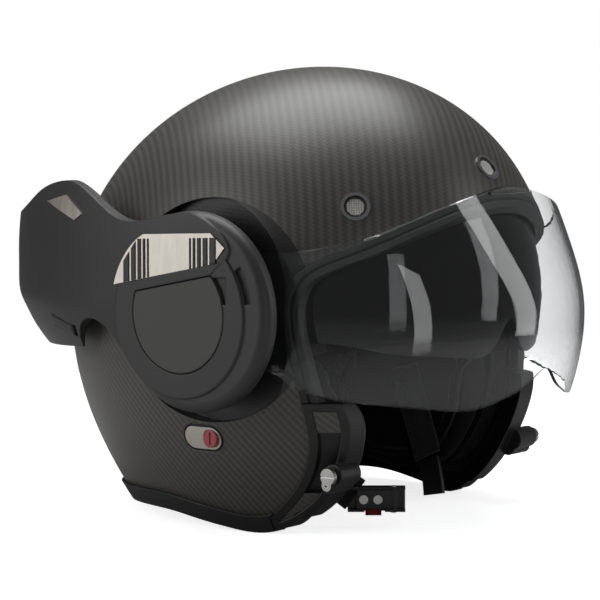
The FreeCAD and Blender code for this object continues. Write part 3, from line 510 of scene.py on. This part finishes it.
def lens(name, tint):
    """Clear or tinted lens plastic that lets lamp light through to what is behind it."""
    material, shader, place = new_finish(name, Transmission_Weight=1.0,
                                         IOR=settings("lens").refraction,
                                         Base_Color=opaque(tint))
    haze = noise(place, 260.0, 4.0)
    join(calc("POWER", haze, 3.0) * 0.05, shader.inputs["Roughness"])
    tree = place.tree
    clear = value("ShaderNodeBsdfTransparent", {"Color": opaque(tint)}, tree=tree)
    shadow = value("ShaderNodeLightPath", {}, "Is Shadow Ray", tree)
    either = value("ShaderNodeMixShader", {0: shadow, 1: Value(tree, shader.outputs[0]),
                                           2: clear})
    join(either, tree.nodes["Material Output"].inputs["Surface"])
    return material


def knitted(name, colour, loop_scale, depth):
    """Lining fabric."""
    material, shader, place = new_finish(name, Sheen_Weight=0.08, Sheen_Roughness=0.5,
                                         Specular_IOR_Level=0.12)
    feed(shader, effect("knit_fabric", {"Vector": place, "Colour": opaque(colour),
                                        "Loop Scale": loop_scale, "Depth": depth}))
    return material


def woven(name, colour, yarn):
    """Webbing whose weave follows the strap's own UV map."""
    material, shader, place = new_finish(name, Sheen_Weight=0.25, Specular_IOR_Level=0.3)
    along = value("ShaderNodeUVMap", {}, tree=place.tree, uv_map="strap")
    feed(shader, effect("woven_webbing", {"Vector": along, "Colour": opaque(colour),
                                          "Yarn": yarn}))
    return material


def beaded_foam(name, colour):
    """Expanded foam: pressed beads with dark joints."""
    material, shader, place = new_finish(name, Specular_IOR_Level=0.3)
    beads = value("ShaderNodeTexVoronoi", {"Vector": place, "Scale": BEAD_SCALE}, "Distance",
                  feature="DISTANCE_TO_EDGE")
    feed(shader, effect("knit_fabric", {
        "Vector": place, "Colour": blended(ramp(beads, 0.0, 0.09), grey(0.01), opaque(colour)),
        "Loop Scale": BEAD_SCALE, "Depth": 0.0004}))
    return material


def finish_for(slot):
    """The finish of each material slot, made the first time it is asked for."""
    name = slot + "_finish"
    found = bpy.data.materials.get(name)
    if found:
        return found
    shell, bar, lenses, lining, metals = (
        settings(part) for part in ("shell", "bar", "lens", "lining", "metal"))
    makers = {
        "carbon_shell": lambda: carbon(name, on_dome, shell.tow_width, 0.25),
        "carbon_trim": lambda: carbon(name, from_the_side, 0.0011, 0.5),
        "chin_paint": lambda: moulded(name, bar.bar_colour, 0.46, 2600.0, 0.00002, 0.55),
        "cap_paint": lambda: moulded(name, bar.cap_colour, 0.55, 2600.0, 0.00002, 0.4),
        "black_plastic": lambda: moulded(name, bar.plastic_colour, 0.42, 1500.0, 0.00005, 0.5),
        "black_rubber": lambda: moulded(name, bar.rubber_colour, 0.52, 1200.0, 0.00004, 0.2),
        "badge_ink": lambda: moulded(name, (0.012, 0.012, 0.012), 0.35, 2600.0, 0.00001, 0.1),
        "steel_black": lambda: moulded(name, (0.012, 0.012, 0.013), 0.3, 2600.0, 0.00002, 0.9),
        "red_plastic": lambda: moulded(name, metals.red_colour, 0.22, 900.0, 0.00001, 0.6,
                                       Coat_Weight=0.6, Coat_Roughness=0.08),
        "liner_foam": lambda: beaded_foam(name, (0.035, 0.035, 0.036)),
        "lining_fabric": lambda: knitted(name, lining.fabric_colour, 1500.0, 0.00008),
        "webbing": lambda: woven(name, (0.014, 0.014, 0.015), 0.0009),
        "red_webbing": lambda: woven(name, lining.red_colour, 0.0007),
        "clear_lens": lambda: lens(name, lenses.clear_tint),
        "smoke_lens": lambda: lens(name, lenses.smoke_tint),
        "badge_metal": lambda: metal(name, metals.badge_colour, 0.38, (500.0, 500.0, 60.0)),
        "brushed_steel": lambda: metal(name, metals.badge_colour, 0.34, (60.0, 60.0, 2600.0)),
        "steel": lambda: metal(name, metals.steel_colour, 0.22),
        "steel_mesh": lambda: metal(name, (0.78, 0.77, 0.75), 0.45),
        "dark_chrome": lambda: metal(name, (0.62, 0.62, 0.63), 0.14),
        "zinc_plate": lambda: metal(name, (0.16, 0.16, 0.165), 0.42),
    }
    return makers[slot]()


SLOT_OF = {row["node"]: row["material_slot"] for row in frame["record"]["subparts"]}


def finish_nodes(slots):
    """Give every CAD node that has one of these slots its finish."""
    for node, slot in SLOT_OF.items():
        if slot in slots:
            for place in NODES[node].material_slots:
                place.material = finish_for(slot)


# ---------------------------------------------------------------- mesh helpers

def new_piece(name, mesh, slot, body):
    """An object for a finished mesh, with its material, slot and body."""
    piece = bpy.data.objects.new(name, mesh)
    bpy.context.scene.collection.objects.link(piece)
    mesh.materials.clear()
    mesh.materials.append(finish_for(slot))
    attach(piece, body)
    return piece


def modified(mesh, build):
    """The plain mesh that comes out of the modifiers which build adds to it."""
    holder = bpy.data.objects.new("work", mesh)
    bpy.context.scene.collection.objects.link(holder)
    build(holder)
    made = evaluated_mesh(holder)
    bpy.data.objects.remove(holder)
    return made


def evaluated_mesh(holder):
    graph = bpy.context.evaluated_depsgraph_get()
    graph.update()
    return bpy.data.meshes.new_from_object(holder.evaluated_get(graph))


def merged_copy(node):
    """A CAD node's mesh with its loose triangles joined."""
    mesh = NODES[node].data.copy()
    form = bmesh.new()
    form.from_mesh(mesh)
    bmesh.ops.remove_doubles(form, verts=form.verts, dist=MERGE_DISTANCE)
    form.to_mesh(mesh)
    form.free()
    return mesh


def smooth(mesh):
    mesh.polygons.foreach_set("use_smooth", [True] * len(mesh.polygons))
    mesh.update()
    return mesh


def with_nodes(mesh, tree, values):
    """The plain mesh that a geometry node tree makes, with its named inputs set."""
    def build(holder):
        modifier = holder.modifiers.new("nodes", "NODES")
        modifier.node_group = tree
        for item in tree.interface.items_tree:
            if item.item_type == "SOCKET" and item.in_out == "INPUT" and item.name in values:
                modifier[item.identifier] = values[item.name]
    return modified(mesh, build)


# ---------------------------------------------------------------- stuffed pieces

def swollen(mesh):
    """A pad's skin: remeshed, drawn in, then filled by air pressure within a limit."""
    lining = settings("lining")

    def remesh(holder):
        voxels = holder.modifiers.new("voxels", "REMESH")
        voxels.mode = "VOXEL"
        voxels.voxel_size = lining.cell
        ease = holder.modifiers.new("ease", "SMOOTH")
        ease.factor = 0.5
        ease.iterations = 6
        draw_in = holder.modifiers.new("draw_in", "DISPLACE")
        draw_in.strength = -PAD_SHRINK
        draw_in.mid_level = 0.0

    start = modified(mesh, remesh)
    before = [vertex.co.copy() for vertex in start.vertices]

    def inflate(holder):
        cloth = holder.modifiers.new("cloth", "CLOTH")
        cloth.settings.use_pressure = True
        cloth.settings.uniform_pressure_force = lining.pressure
        cloth.settings.effector_weights.gravity = 0.0
        cloth.settings.quality = 4
        scene = bpy.context.scene
        for step in range(1, lining.frames + 1):
            scene.frame_set(step)

    filled = modified(start, inflate)
    bpy.context.scene.frame_set(1)
    for vertex, origin in zip(filled.vertices, before):
        way = vertex.co - origin
        if way.length > lining.swell_limit:
            vertex.co = origin + way.normalized() * lining.swell_limit
    return subdivided(filled)


def subdivided(mesh):
    def finer(holder):
        step = holder.modifiers.new("finer", "SUBSURF")
        step.levels = step.render_levels = 1
    return smooth(modified(mesh, finer))


def press_seams(mesh, distance_to_seam, depth):
    """Pull the skin in along sewn lines; distance_to_seam gives metres from the nearest."""
    normals = [vertex.normal.copy() for vertex in mesh.vertices]
    for vertex, normal in zip(mesh.vertices, normals):
        share = distance_to_seam(vertex.co) / SEAM_WIDTH
        if share < 2.5:
            vertex.co -= normal * depth * math.exp(-share * share)
    mesh.update()
    return mesh


def dropped_on(mesh, origins, ways):
    """Where rays meet the mesh's skin, skipping those that miss, with the skin's normals."""
    skin = BVHTree.FromPolygons([vertex.co for vertex in mesh.vertices],
                                [polygon.vertices for polygon in mesh.polygons])
    points = []
    for origin, way in zip(origins, ways):
        place, normal, _, _ = skin.ray_cast(origin, way)
        if place is not None:
            points.append((place, normal))
    return points


def line_mesh(points, closed=False):
    """A mesh of edges only, for geometry nodes to follow."""
    mesh = bpy.data.meshes.new("line")
    edges = [(index, index + 1) for index in range(len(points) - 1)]
    if closed:
        edges.append((len(points) - 1, 0))
    mesh.from_pydata(points, edges, [])
    return mesh


def dyed(geometry, material):
    return value("GeometryNodeSetMaterial", {"Geometry": geometry, "Material": material})


def laid_out(places, piece, **feeds):
    """A copy of a piece at every point, made real."""
    laid = value("GeometryNodeInstanceOnPoints", {"Points": places, "Instance": piece, **feeds})
    return value("GeometryNodeRealizeInstances", {"Geometry": laid})


def make_stitch_tree():
    """Geometry nodes: short sewn threads laid end to end along a line."""
    tree, given, give = new_group(
        "sewn_stitches", "GeometryNodeTree",
        {"Line": (GEOMETRY, None), "Pitch": (FLOAT, 0.003), "Thickness": (FLOAT, 0.0004),
         "Thread": (MATERIAL, None)}, {"Geometry": GEOMETRY})
    curve = value("GeometryNodeMeshToCurve", {"Mesh": given["Line"]})
    even = value("GeometryNodeResampleCurve", {"Curve": curve, "Length": given["Pitch"]},
                 mode="LENGTH")
    tangent = value("GeometryNodeInputTangent", {}, tree=tree)
    turn = value("FunctionNodeAlignRotationToVector", {"Vector": tangent}, axis="X")
    bead = value("GeometryNodeMeshUVSphere", {"Segments": 6, "Rings": 5, "Radius": 1.0},
                 tree=tree)
    shape = combined(given["Pitch"] * 0.40, given["Thickness"], given["Thickness"])
    return give(Geometry=dyed(laid_out(even, bead, Rotation=turn, Scale=shape),
                              given["Thread"]))


def make_wire_tree():
    """Geometry nodes: one layer of wavy wires that fill a disc, all along X."""
    tree, given, give = new_group(
        "disc_of_wires", "GeometryNodeTree",
        {"Seed": (GEOMETRY, None), "Radius": (FLOAT, 0.0049), "Pitch": (FLOAT, 0.0011),
         "Wire": (FLOAT, 0.00026), "Phase": (FLOAT, 0.0), "Metal": (MATERIAL, None)},
        {"Geometry": GEOMETRY})
    radius, pitch, wire = given["Radius"], given["Pitch"], given["Wire"]
    rows = calc("FLOOR", radius / pitch)
    places = value("GeometryNodeMeshLine", {
        "Count": rows * 2.0 + 1.0, "Start Location": combined(y=rows * pitch * -1.0),
        "Offset": combined(y=pitch)}, mode="OFFSET")
    y = split(value("GeometryNodeInputPosition", {}, tree=tree))[1]
    half = calc("SQRT", calc("MAXIMUM", radius * radius - y * y, 0.0000001))
    straight = value("GeometryNodeCurvePrimitiveLine", {"Start": (-1.0, 0.0, 0.0),
                                                        "End": (1.0, 0.0, 0.0)}, tree=tree)
    points = value("GeometryNodeResampleCurve", {"Curve": straight, "Count": 36})
    solid = laid_out(places, points, Scale=combined(half, 1.0, 1.0))
    x, y, _ = split(value("GeometryNodeInputPosition", {}, tree=tree))
    turn = x / pitch + calc("ROUND", y / pitch) + given["Phase"]
    lift = calc("COSINE", turn * math.pi) * wire
    wavy = value("GeometryNodeSetPosition", {"Geometry": solid, "Offset": combined(z=lift)})
    ring = value("GeometryNodeCurvePrimitiveCircle", {"Resolution": 6, "Radius": wire})
    tubes = value("GeometryNodeCurveToMesh", {"Curve": wavy, "Profile Curve": ring,
                                              "Fill Caps": True})
    return give(Geometry=dyed(tubes, given["Metal"]))


def stitches(name, lines, body, slot, thickness=0.0004):
    """Sewn thread along each of the lines, as one piece."""
    tree = bpy.data.node_groups.get("sewn_stitches") or make_stitch_tree()
    lining = settings("lining")
    rows = [with_nodes(line_mesh(points, closed), tree, {
        "Pitch": lining.stitch_pitch, "Thickness": thickness, "Thread": finish_for(slot)})
        for points, closed in lines]
    mesh = smooth(joined(rows))
    return new_piece(name, mesh, slot, body)


def joined(meshes, moves=None):
    """Several meshes in one, each moved by its own matrix."""
    form = bmesh.new()
    for index, mesh in enumerate(meshes):
        moved = mesh.copy()
        if moves:
            moved.transform(moves[index])
        form.from_mesh(moved)
        bpy.data.meshes.remove(moved)
    whole = bpy.data.meshes.new("whole")
    form.to_mesh(whole)
    form.free()
    return whole


def tube(name, points, radius, slot, body):
    """A closed loop of round piping, sewn into a seam."""
    curve = bpy.data.curves.new(name, "CURVE")
    curve.dimensions = "3D"
    curve.bevel_depth = radius
    curve.bevel_resolution = 2
    spline = curve.splines.new("POLY")
    spline.points.add(len(points) - 1)
    for point, place in zip(spline.points, points):
        point.co = (*place, 1.0)
    spline.use_cyclic_u = True
    holder = bpy.data.objects.new("work", curve)
    bpy.context.scene.collection.objects.link(holder)
    mesh = evaluated_mesh(holder)
    bpy.data.objects.remove(holder)
    return new_piece(name, smooth(mesh), slot, body)


def between(a, b, c, d, t):
    """A point from b to c on a smooth curve through four points."""
    return 0.5 * ((2 * b) + (c - a) * t + (2 * a - 5 * b + 4 * c - d) * t ** 2
                  + (3 * b - a - 3 * c + d) * t ** 3)


def strap_frame(rows, index):
    """A strap's place at one row, and the ways across it and out of its flat side."""
    place, normal = rows[index]
    before = rows[max(index - 1, 0)][0]
    after = rows[min(index + 1, len(rows) - 1)][0]
    way = (after - before).normalized()
    across = way.cross(normal).normalized()
    return place, across, across.cross(way).normalized()


def ribbon(name, stations, width, thickness, slot, body):
    """Webbing through stations of (centre, normal of the flat side), with a strap UV map."""
    centres = [Vector(centre) for centre, _ in stations]
    normals = [Vector(normal) for _, normal in stations]
    steps = 10
    rows = []
    for index in range(len(centres) - 1):
        a, b = centres[max(index - 1, 0)], centres[index]
        c, d = centres[index + 1], centres[min(index + 2, len(centres) - 1)]
        for step in range(steps + (index == len(centres) - 2)):
            t = step / steps
            rows.append((between(a, b, c, d, t), normals[index].lerp(normals[index + 1], t)))
    outline = []
    for x, y in ((0.5, 0.25), (0.47, 0.5), (0.25, 0.5), (0.0, 0.5), (-0.25, 0.5), (-0.47, 0.5),
                 (-0.5, 0.25)):
        outline.append((x * width, y * thickness))
    outline += [(x, -y) for x, y in reversed(outline)]
    around = len(outline)
    verts, faces, marks = [], [], []
    length = 0.0
    for index in range(len(rows)):
        place, across, out = strap_frame(rows, index)
        if index:
            length += (place - rows[index - 1][0]).length
        for x, y in outline:
            verts.append(place + across * x + out * y)
            marks.append((length, x))
    for row in range(len(rows) - 1):
        for step in range(around):
            a = row * around + step
            b = row * around + (step + 1) % around
            faces.append((a, b, b + around, a + around))
    faces.append(tuple(reversed(range(around))))
    faces.append(tuple(range((len(rows) - 1) * around, len(rows) * around)))
    mesh = bpy.data.meshes.new(name)
    mesh.from_pydata(verts, [], faces)
    layer = mesh.uv_layers.new(name="strap")
    for loop in mesh.loops:
        layer.data[loop.index].uv = marks[loop.vertex_index]
    form = bmesh.new()
    form.from_mesh(mesh)
    bmesh.ops.recalc_face_normals(form, faces=form.faces)
    form.to_mesh(mesh)
    form.free()
    return new_piece(name, smooth(mesh), slot, body), rows


def head(x, y, z):
    """A point given in millimetres on the head's axes, in the object's frame."""
    return Vector((x / 1000, y / 1000 + HEAD_Y, z / 1000))


# ---------------------------------------------------------------- operators

class FinishStep:
    """Gives the CAD nodes of some material slots their finish."""
    slots = ()

    def execute(self, context):
        finish_nodes(self.slots)
        return {"FINISHED"}


class HELMET_OT_shell(FinishStep, bpy.types.Operator):
    """Weave the carbon shell and colour its rubber edges"""
    bl_idname = "helmet.shell"
    bl_label = "Shell"
    slots = ("carbon_shell", "carbon_trim", "black_rubber", "liner_foam")


class HELMET_OT_chin_bar(FinishStep, bpy.types.Operator):
    """Paint the chin bar and its caps, badges and plates"""
    bl_idname = "helmet.chin_bar"
    bl_label = "Chin Bar"
    slots = ("chin_paint", "cap_paint", "badge_metal", "badge_ink", "black_plastic")


class HELMET_OT_visors(FinishStep, bpy.types.Operator):
    """Make the clear visor and the sun visor see-through"""
    bl_idname = "helmet.visors"
    bl_label = "Visors"
    slots = ("clear_lens", "smoke_lens")


class HELMET_OT_hardware(FinishStep, bpy.types.Operator):
    """Give pins, screws, plates, rings and the push button their metal and colour"""
    bl_idname = "helmet.hardware"
    bl_label = "Hardware"
    slots = ("steel", "steel_black", "steel_mesh", "dark_chrome",
             "zinc_plate", "brushed_steel", "red_plastic")


class HELMET_OT_vent_meshes(bpy.types.Operator):
    """Weave a disc of wire into each forehead vent"""
    bl_idname = "helmet.vent_meshes"
    bl_label = "Vent Meshes"

    def execute(self, context):
        metals = settings("metal")
        tree = make_wire_tree()
        layers = []
        for phase in (0.0, 1.0):
            layers.append(with_nodes(line_mesh([(0, 0, 0), (0, 0, 0.001)]), tree, {
                "Radius": 0.0048, "Pitch": metals.wire_pitch, "Wire": metals.wire_radius,
                "Phase": phase, "Metal": finish_for("steel_mesh")}))
        layers[1].transform(Matrix.Rotation(math.pi / 2, 4, "Z"))
        disc = joined(layers)
        moves = [facing_disc(island) for island in islands("vent_meshes")]
        mesh = smooth(joined([disc] * len(moves), moves))
        piece = new_piece("vent_wire_meshes", mesh, "steel_mesh", "helmet")
        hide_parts("vent_meshes")
        return {"FINISHED"}


def islands(node):
    """The separate solids of a CAD node, each as its list of points."""
    form = bmesh.new()
    form.from_mesh(merged_copy(node))
    left = set(form.verts)
    groups = []
    while left:
        stack = [left.pop()]
        group = []
        while stack:
            vertex = stack.pop()
            group.append(vertex.co.copy())
            for edge in vertex.link_edges:
                other = edge.other_vert(vertex)
                if other in left:
                    left.remove(other)
                    stack.append(other)
        groups.append(group)
    form.free()
    return groups


def facing_disc(points):
    """Where a flat disc's outer face is, as a matrix whose Z axis is its own."""
    middle = sum(points, Vector()) / len(points)
    outside = (middle - Vector((0.0, HEAD_Y, EQUATOR))).normalized()
    axis = fitted_axis(points, middle)
    if axis.dot(outside) < 0:
        axis = -axis
    height = max((point - middle).dot(axis) for point in points)
    turn = axis.to_track_quat("Z", "Y").to_matrix().to_4x4()
    return Matrix.Translation(middle + axis * (height - 0.0003)) @ turn


def fitted_axis(points, middle):
    """The direction in which a disc's points spread least."""
    spread = Matrix(((0.0,) * 3,) * 3)
    for point in points:
        way = point - middle
        for row in range(3):
            for column in range(3):
                spread[row][column] += way[row] * way[column]
    inverse = (spread + Matrix.Identity(3) * 1e-12).inverted()
    axis = (middle - Vector((0.0, HEAD_Y, EQUATOR))).normalized()
    for _ in range(40):
        axis = (inverse @ axis).normalized()
    return axis


class HELMET_OT_crown_lining(bpy.types.Operator):
    """Pad and sew the lining that sits on the crown of the head"""
    bl_idname = "helmet.crown_lining"
    bl_label = "Crown Lining"

    def execute(self, context):
        mesh = swollen(merged_copy("crown_lining"))
        seams = (-0.036, 0.036)
        press_seams(mesh, lambda co: min(abs(co.x - seam) for seam in seams), 0.0018)
        piece = new_piece("crown_padding", mesh, "lining_fabric", "helmet")
        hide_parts("crown_lining")
        middle = Vector((0.0, HEAD_Y, EQUATOR))
        lines = []
        for seam in seams:
            for beside in (-0.0035, 0.0035):
                ways = [Vector((seam + beside, 0.09 * math.cos(angle), 0.09 * math.sin(angle)))
                        for angle in [math.radians(step) for step in range(8, 150, 4)]]
                origins = [middle + Vector((seam + beside, 0, 0))] * len(ways)
                flat = [Vector((0, way.y, way.z)).normalized() for way in ways]
                hits = dropped_on(mesh, origins, flat)
                points = [place + normal * 0.0001 for place, normal in hits
                          if normal.dot(place - middle) < 0]
                if len(points) > 3:
                    lines.append((points, False))
        stitches("crown_stitches", lines, "helmet", "webbing")
        return {"FINISHED"}


class HELMET_OT_cheek_pads(bpy.types.Operator):
    """Pad both cheeks and pipe and sew their inner faces"""
    bl_idname = "helmet.cheek_pads"
    bl_label = "Cheek Pads"

    def execute(self, context):
        outline = [head(0, y, z) for y, z in ((-60, 90), (-63, 74), (-62, 56), (-55, 40),
                                              (-43, 28), (-20, 23), (4, 25), (17, 34),
                                              (24, 53), (21, 75), (13, 90))]
        loop = rounded_loop(outline, 8)
        for name, side in SIDES:
            mesh = swollen(merged_copy(f"cheek_pad_{name}"))
            ways = [Vector((side, 0, 0))] * len(loop)
            hits = dropped_on(mesh, loop, ways)
            line = [place for place, _ in hits]
            press_seams(mesh, nearest_to(line), 0.0022)
            piece = new_piece(f"cheek_padding_{name}", mesh, "lining_fabric", "helmet")
            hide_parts(f"cheek_pad_{name}")
            sunk = dropped_on(mesh, loop, ways)
            piping = [place + normal * 0.0004 for place, normal in sunk]
            tube(f"cheek_piping_{name}", piping, 0.0012, "black_plastic", "helmet")
            inner = rounded_loop([point.lerp(head(0, -20, 56), 0.13) for point in outline], 8)
            seam = [place + normal * 0.0002 for place, normal in dropped_on(mesh, inner, ways)]
            stitches(f"cheek_stitches_{name}", [(seam, True)], "helmet", "webbing")
        return {"FINISHED"}


def rounded_loop(points, steps):
    """A closed Catmull-Rom loop through points."""
    count = len(points)
    made = []
    for index in range(count):
        a, b, c, d = (points[(index + offset) % count] for offset in (-1, 0, 1, 2))
        made += [between(a, b, c, d, step / steps) for step in range(steps)]
    return made


def nearest_to(points):
    """A function that gives metres from a place to the nearest of some points."""
    tree = KDTree(len(points))
    for index, point in enumerate(points):
        tree.insert(point, index)
    tree.balance()
    return lambda place: tree.find(place)[2]


class HELMET_OT_neck_roll(bpy.types.Operator):
    """Pad the roll that closes the neck opening behind the head"""
    bl_idname = "helmet.neck_roll"
    bl_label = "Neck Roll"

    def execute(self, context):
        mesh = swollen(merged_copy("neck_roll"))
        low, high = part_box("neck_roll")
        level = low.z + 0.45 * (high.z - low.z)
        press_seams(mesh, lambda co: abs(co.z - level), 0.0022)
        piece = new_piece("neck_padding", mesh, "lining_fabric", "helmet")
        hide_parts("neck_roll")
        lines = []
        for lift in (-0.0038, 0.0038):
            origin = Vector((0.0, HEAD_Y + 0.02, level + lift))
            ways = [Vector((math.sin(angle), math.cos(angle), 0)) for angle in
                    [math.radians(step) for step in range(-64, 65, 3)]]
            hits = dropped_on(mesh, [origin] * len(ways), ways)
            lines.append(([place + normal * 0.0001 for place, normal in hits], False))
        stitches("neck_stitches", lines, "helmet", "webbing")
        return {"FINISHED"}


class HELMET_OT_chin_strap(bpy.types.Operator):
    """Lay the two webbing straps and sew along both edges of each"""
    bl_idname = "helmet.chin_strap"
    bl_label = "Chin Strap"

    def execute(self, context):
        inward = Vector((1, 0, 0))
        runs = {
            "right": [(head(-58.3, -26, 78), inward), (head(-58, -34, 58), inward),
                      (head(-56, -46, 40), inward),
                      (head(-51, -59.8, 25.6), Vector((0.9, 0.3, 0))),
                      (head(-48.3, -69.8, 18.5), Vector((0.8, 0.5, 0)))],
            "left": [(head(58.3, -26, 78), inward), (head(58, -32, 58), inward),
                     (head(56, -40, 40), inward), (head(53, -47, 26), inward)],
        }
        for name, stations in runs.items():
            piece, rows = ribbon(f"webbing_{name}", stations, 0.020, 0.0016, "webbing", "helmet")
            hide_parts(f"strap_{name}")
            lines = []
            for edge in (-0.0082, 0.0082):
                for face in (-0.0009, 0.0009):
                    points = []
                    for index in range(1, len(rows) - 1):
                        place, across, out = strap_frame(rows, index)
                        points.append(place + across * edge + out * face)
                    lines.append((points, False))
            stitches(f"webbing_stitches_{name}", lines, "helmet", "webbing", 0.00028)
        return {"FINISHED"}


class HELMET_OT_release_tab(bpy.types.Operator):
    """Lay the red webbing tab that opens the buckle"""
    bl_idname = "helmet.release_tab"
    bl_label = "Release Tab"

    def execute(self, context):
        low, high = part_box("release_tab")
        middle = (low + high) / 2
        out = Vector((-0.786, -0.618, 0))
        stations = [(Vector((middle.x, middle.y, high.z - drop)), out)
                    for drop in (0.0, 0.0018, 0.0036)]
        piece, _ = ribbon("red_tab", stations, 0.009, 0.0012, "red_webbing", "lever")
        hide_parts("release_tab")
        return {"FINISHED"}


class HELMET_OT_stage(bpy.types.Operator):
    """Set the floor, the lamps and the camera"""
    bl_idname = "helmet.stage"
    bl_label = "Stage"

    def execute(self, context):
        stage = settings("stage")
        scene = context.scene
        scene.view_settings.view_transform = "Standard"
        target = Vector((0.0, HEAD_Y, stage.aim_height))
        back = Vector((math.sin(stage.azimuth) * math.cos(stage.elevation),
                       -math.cos(stage.azimuth) * math.cos(stage.elevation),
                       math.sin(stage.elevation)))
        camera = bpy.data.objects.new("camera", bpy.data.cameras.new("camera"))
        scene.collection.objects.link(camera)
        camera.data.lens = stage.lens
        camera.data.sensor_width = 36.0
        camera.data.shift_x = -0.017
        camera.data.shift_y = -0.0313
        camera.data.clip_start = 0.05
        camera.location = target + back * stage.distance
        camera.rotation_euler = (-back).to_track_quat("-Z", "Y").to_euler()
        scene.camera = camera
        make_floor()
        make_world(scene)
        right = Vector((math.cos(stage.azimuth), math.sin(stage.azimuth), 0.0))
        front = Vector((back.x, back.y, 0.0)).normalized()
        up = Vector((0.0, 0.0, 1.0))
        for name, (to_right, to_front, upward), size, power in LAMPS:
            place = target + right * to_right + front * to_front + up * upward
            lamp(name, place, target, size, power)
        return {"FINISHED"}


def make_floor():
    """A pale floor whose edge fades into the white around it."""
    reach = 4.0
    mesh = bpy.data.meshes.new("floor")
    mesh.from_pydata([(x * reach, y * reach, 0)
                      for x, y in ((-1, -1), (1, -1), (1, 1), (-1, 1))], [], [(0, 1, 2, 3)])
    floor = bpy.data.objects.new("floor", mesh)
    bpy.context.scene.collection.objects.link(floor)
    material, shader, place = new_finish("floor_finish", Roughness=0.9,
                                         Specular_IOR_Level=0.1, Emission_Color=grey(1.0))
    seen = seen_plainly(place.tree)
    pale = blended(noise(place, 3.0), grey(0.90), grey(0.94))
    away = value("ShaderNodeVectorMath", {0: place}, "Value", operation="LENGTH")
    fade = value("ShaderNodeMapRange", {"Value": away, "From Min": 0.3, "From Max": 1.0,
                                        "To Min": 1.0, "To Max": 0.0},
                 interpolation_type="SMOOTHSTEP")
    join(blended(seen, grey(0.50), pale), shader.inputs["Base Color"])
    join(fade, shader.inputs["Alpha"])
    join(seen * 0.8, shader.inputs["Emission Strength"])
    mesh.materials.append(material)


def seen_plainly(tree):
    """1 for what the camera sees directly or through a lens, and 0 for other light."""
    path = values_of(tree, put(tree, "ShaderNodeLightPath"))
    straight = calc("LESS_THAN", path["Glossy Depth"] + path["Diffuse Depth"], 0.5)
    return calc("MAXIMUM", path["Is Camera Ray"], straight * path["Is Transmission Ray"])


def make_world(scene):
    """Plain white to the camera, and a dimmer room for everything else."""
    world = bpy.data.worlds.new("studio")
    world.use_nodes = True
    tree = world.node_tree
    tree.nodes.clear()
    seen, room = (value("ShaderNodeBackground", {"Color": colour, "Strength": strength},
                        tree=tree)
                  for colour, strength in ((grey(1.0), 1.0), (opaque((0.97, 0.98, 1.0)), 0.11)))
    both = value("ShaderNodeMixShader", {0: seen_plainly(tree), 1: room, 2: seen})
    join(both, put(tree, "ShaderNodeOutputWorld").inputs["Surface"])
    scene.world = world


# Each softbox's way from the target (right, front and up), its width and height, and its power.
LAMPS = (
    ("overhead", (-0.15, -0.45, 1.5), (1.5, 1.2), 25.0),
    ("left_box", (-1.5, 0.7, 0.8), (1.0, 1.2), 8.0),
    ("right_strip", (1.3, 0.15, 0.35), (0.35, 1.3), 3.5),
    ("front_box", (0.6, 1.9, 0.1), (0.35, 1.3), 2.8),
    ("side_box", (-1.5, 0.35, 0.15), (0.5, 1.1), 2.5),
)


def lamp(name, place, target, size, power):
    """A softbox of a width and height, aimed at the helmet."""
    data = bpy.data.lights.new(name, "AREA")
    data.shape = "RECTANGLE"
    data.size, data.size_y = size
    data.energy = power * settings("stage").light
    box = bpy.data.objects.new(name, data)
    bpy.context.scene.collection.objects.link(box)
    box.location = place
    box.rotation_euler = (target - place).to_track_quat("-Z", "Y").to_euler()


class HELMET_PT_panel(bpy.types.Panel):
    """Lists the helmet's steps in the order in which they are made"""
    bl_idname = "HELMET_PT_panel"
    bl_label = "Helmet"
    bl_space_type = "VIEW_3D"
    bl_region_type = "UI"
    bl_category = "Helmet"

    def draw(self, context):
        for part, group in SETTINGS:
            box = self.layout.box()
            box.label(text=part.capitalize())
            for name in group.__annotations__:
                box.prop(getattr(context.scene, f"helmet_{part}"), name)
        for operator in OPERATORS:
            self.layout.operator(operator.bl_idname)


OPERATORS = (HELMET_OT_stage, HELMET_OT_shell, HELMET_OT_chin_bar, HELMET_OT_visors,
             HELMET_OT_hardware, HELMET_OT_vent_meshes, HELMET_OT_crown_lining,
             HELMET_OT_cheek_pads, HELMET_OT_neck_roll, HELMET_OT_chin_strap,
             HELMET_OT_release_tab)


def register():
    for _, group in SETTINGS:
        bpy.utils.register_class(group)
    for kind in (*OPERATORS, HELMET_PT_panel):
        bpy.utils.register_class(kind)
    for part, group in SETTINGS:
        setattr(bpy.types.Scene, f"helmet_{part}", PointerProperty(type=group))


def unregister():
    for part, _ in SETTINGS:
        delattr(bpy.types.Scene, f"helmet_{part}")
    for kind in (HELMET_PT_panel, *reversed(OPERATORS)):
        bpy.utils.unregister_class(kind)
    for _, group in reversed(SETTINGS):
        bpy.utils.unregister_class(group)


def main():
    register()
    for operator in OPERATORS:
        part = operator.bl_idname.split(".")[1]
        getattr(bpy.ops.helmet, part)()


if __name__ == "__main__":
    main()
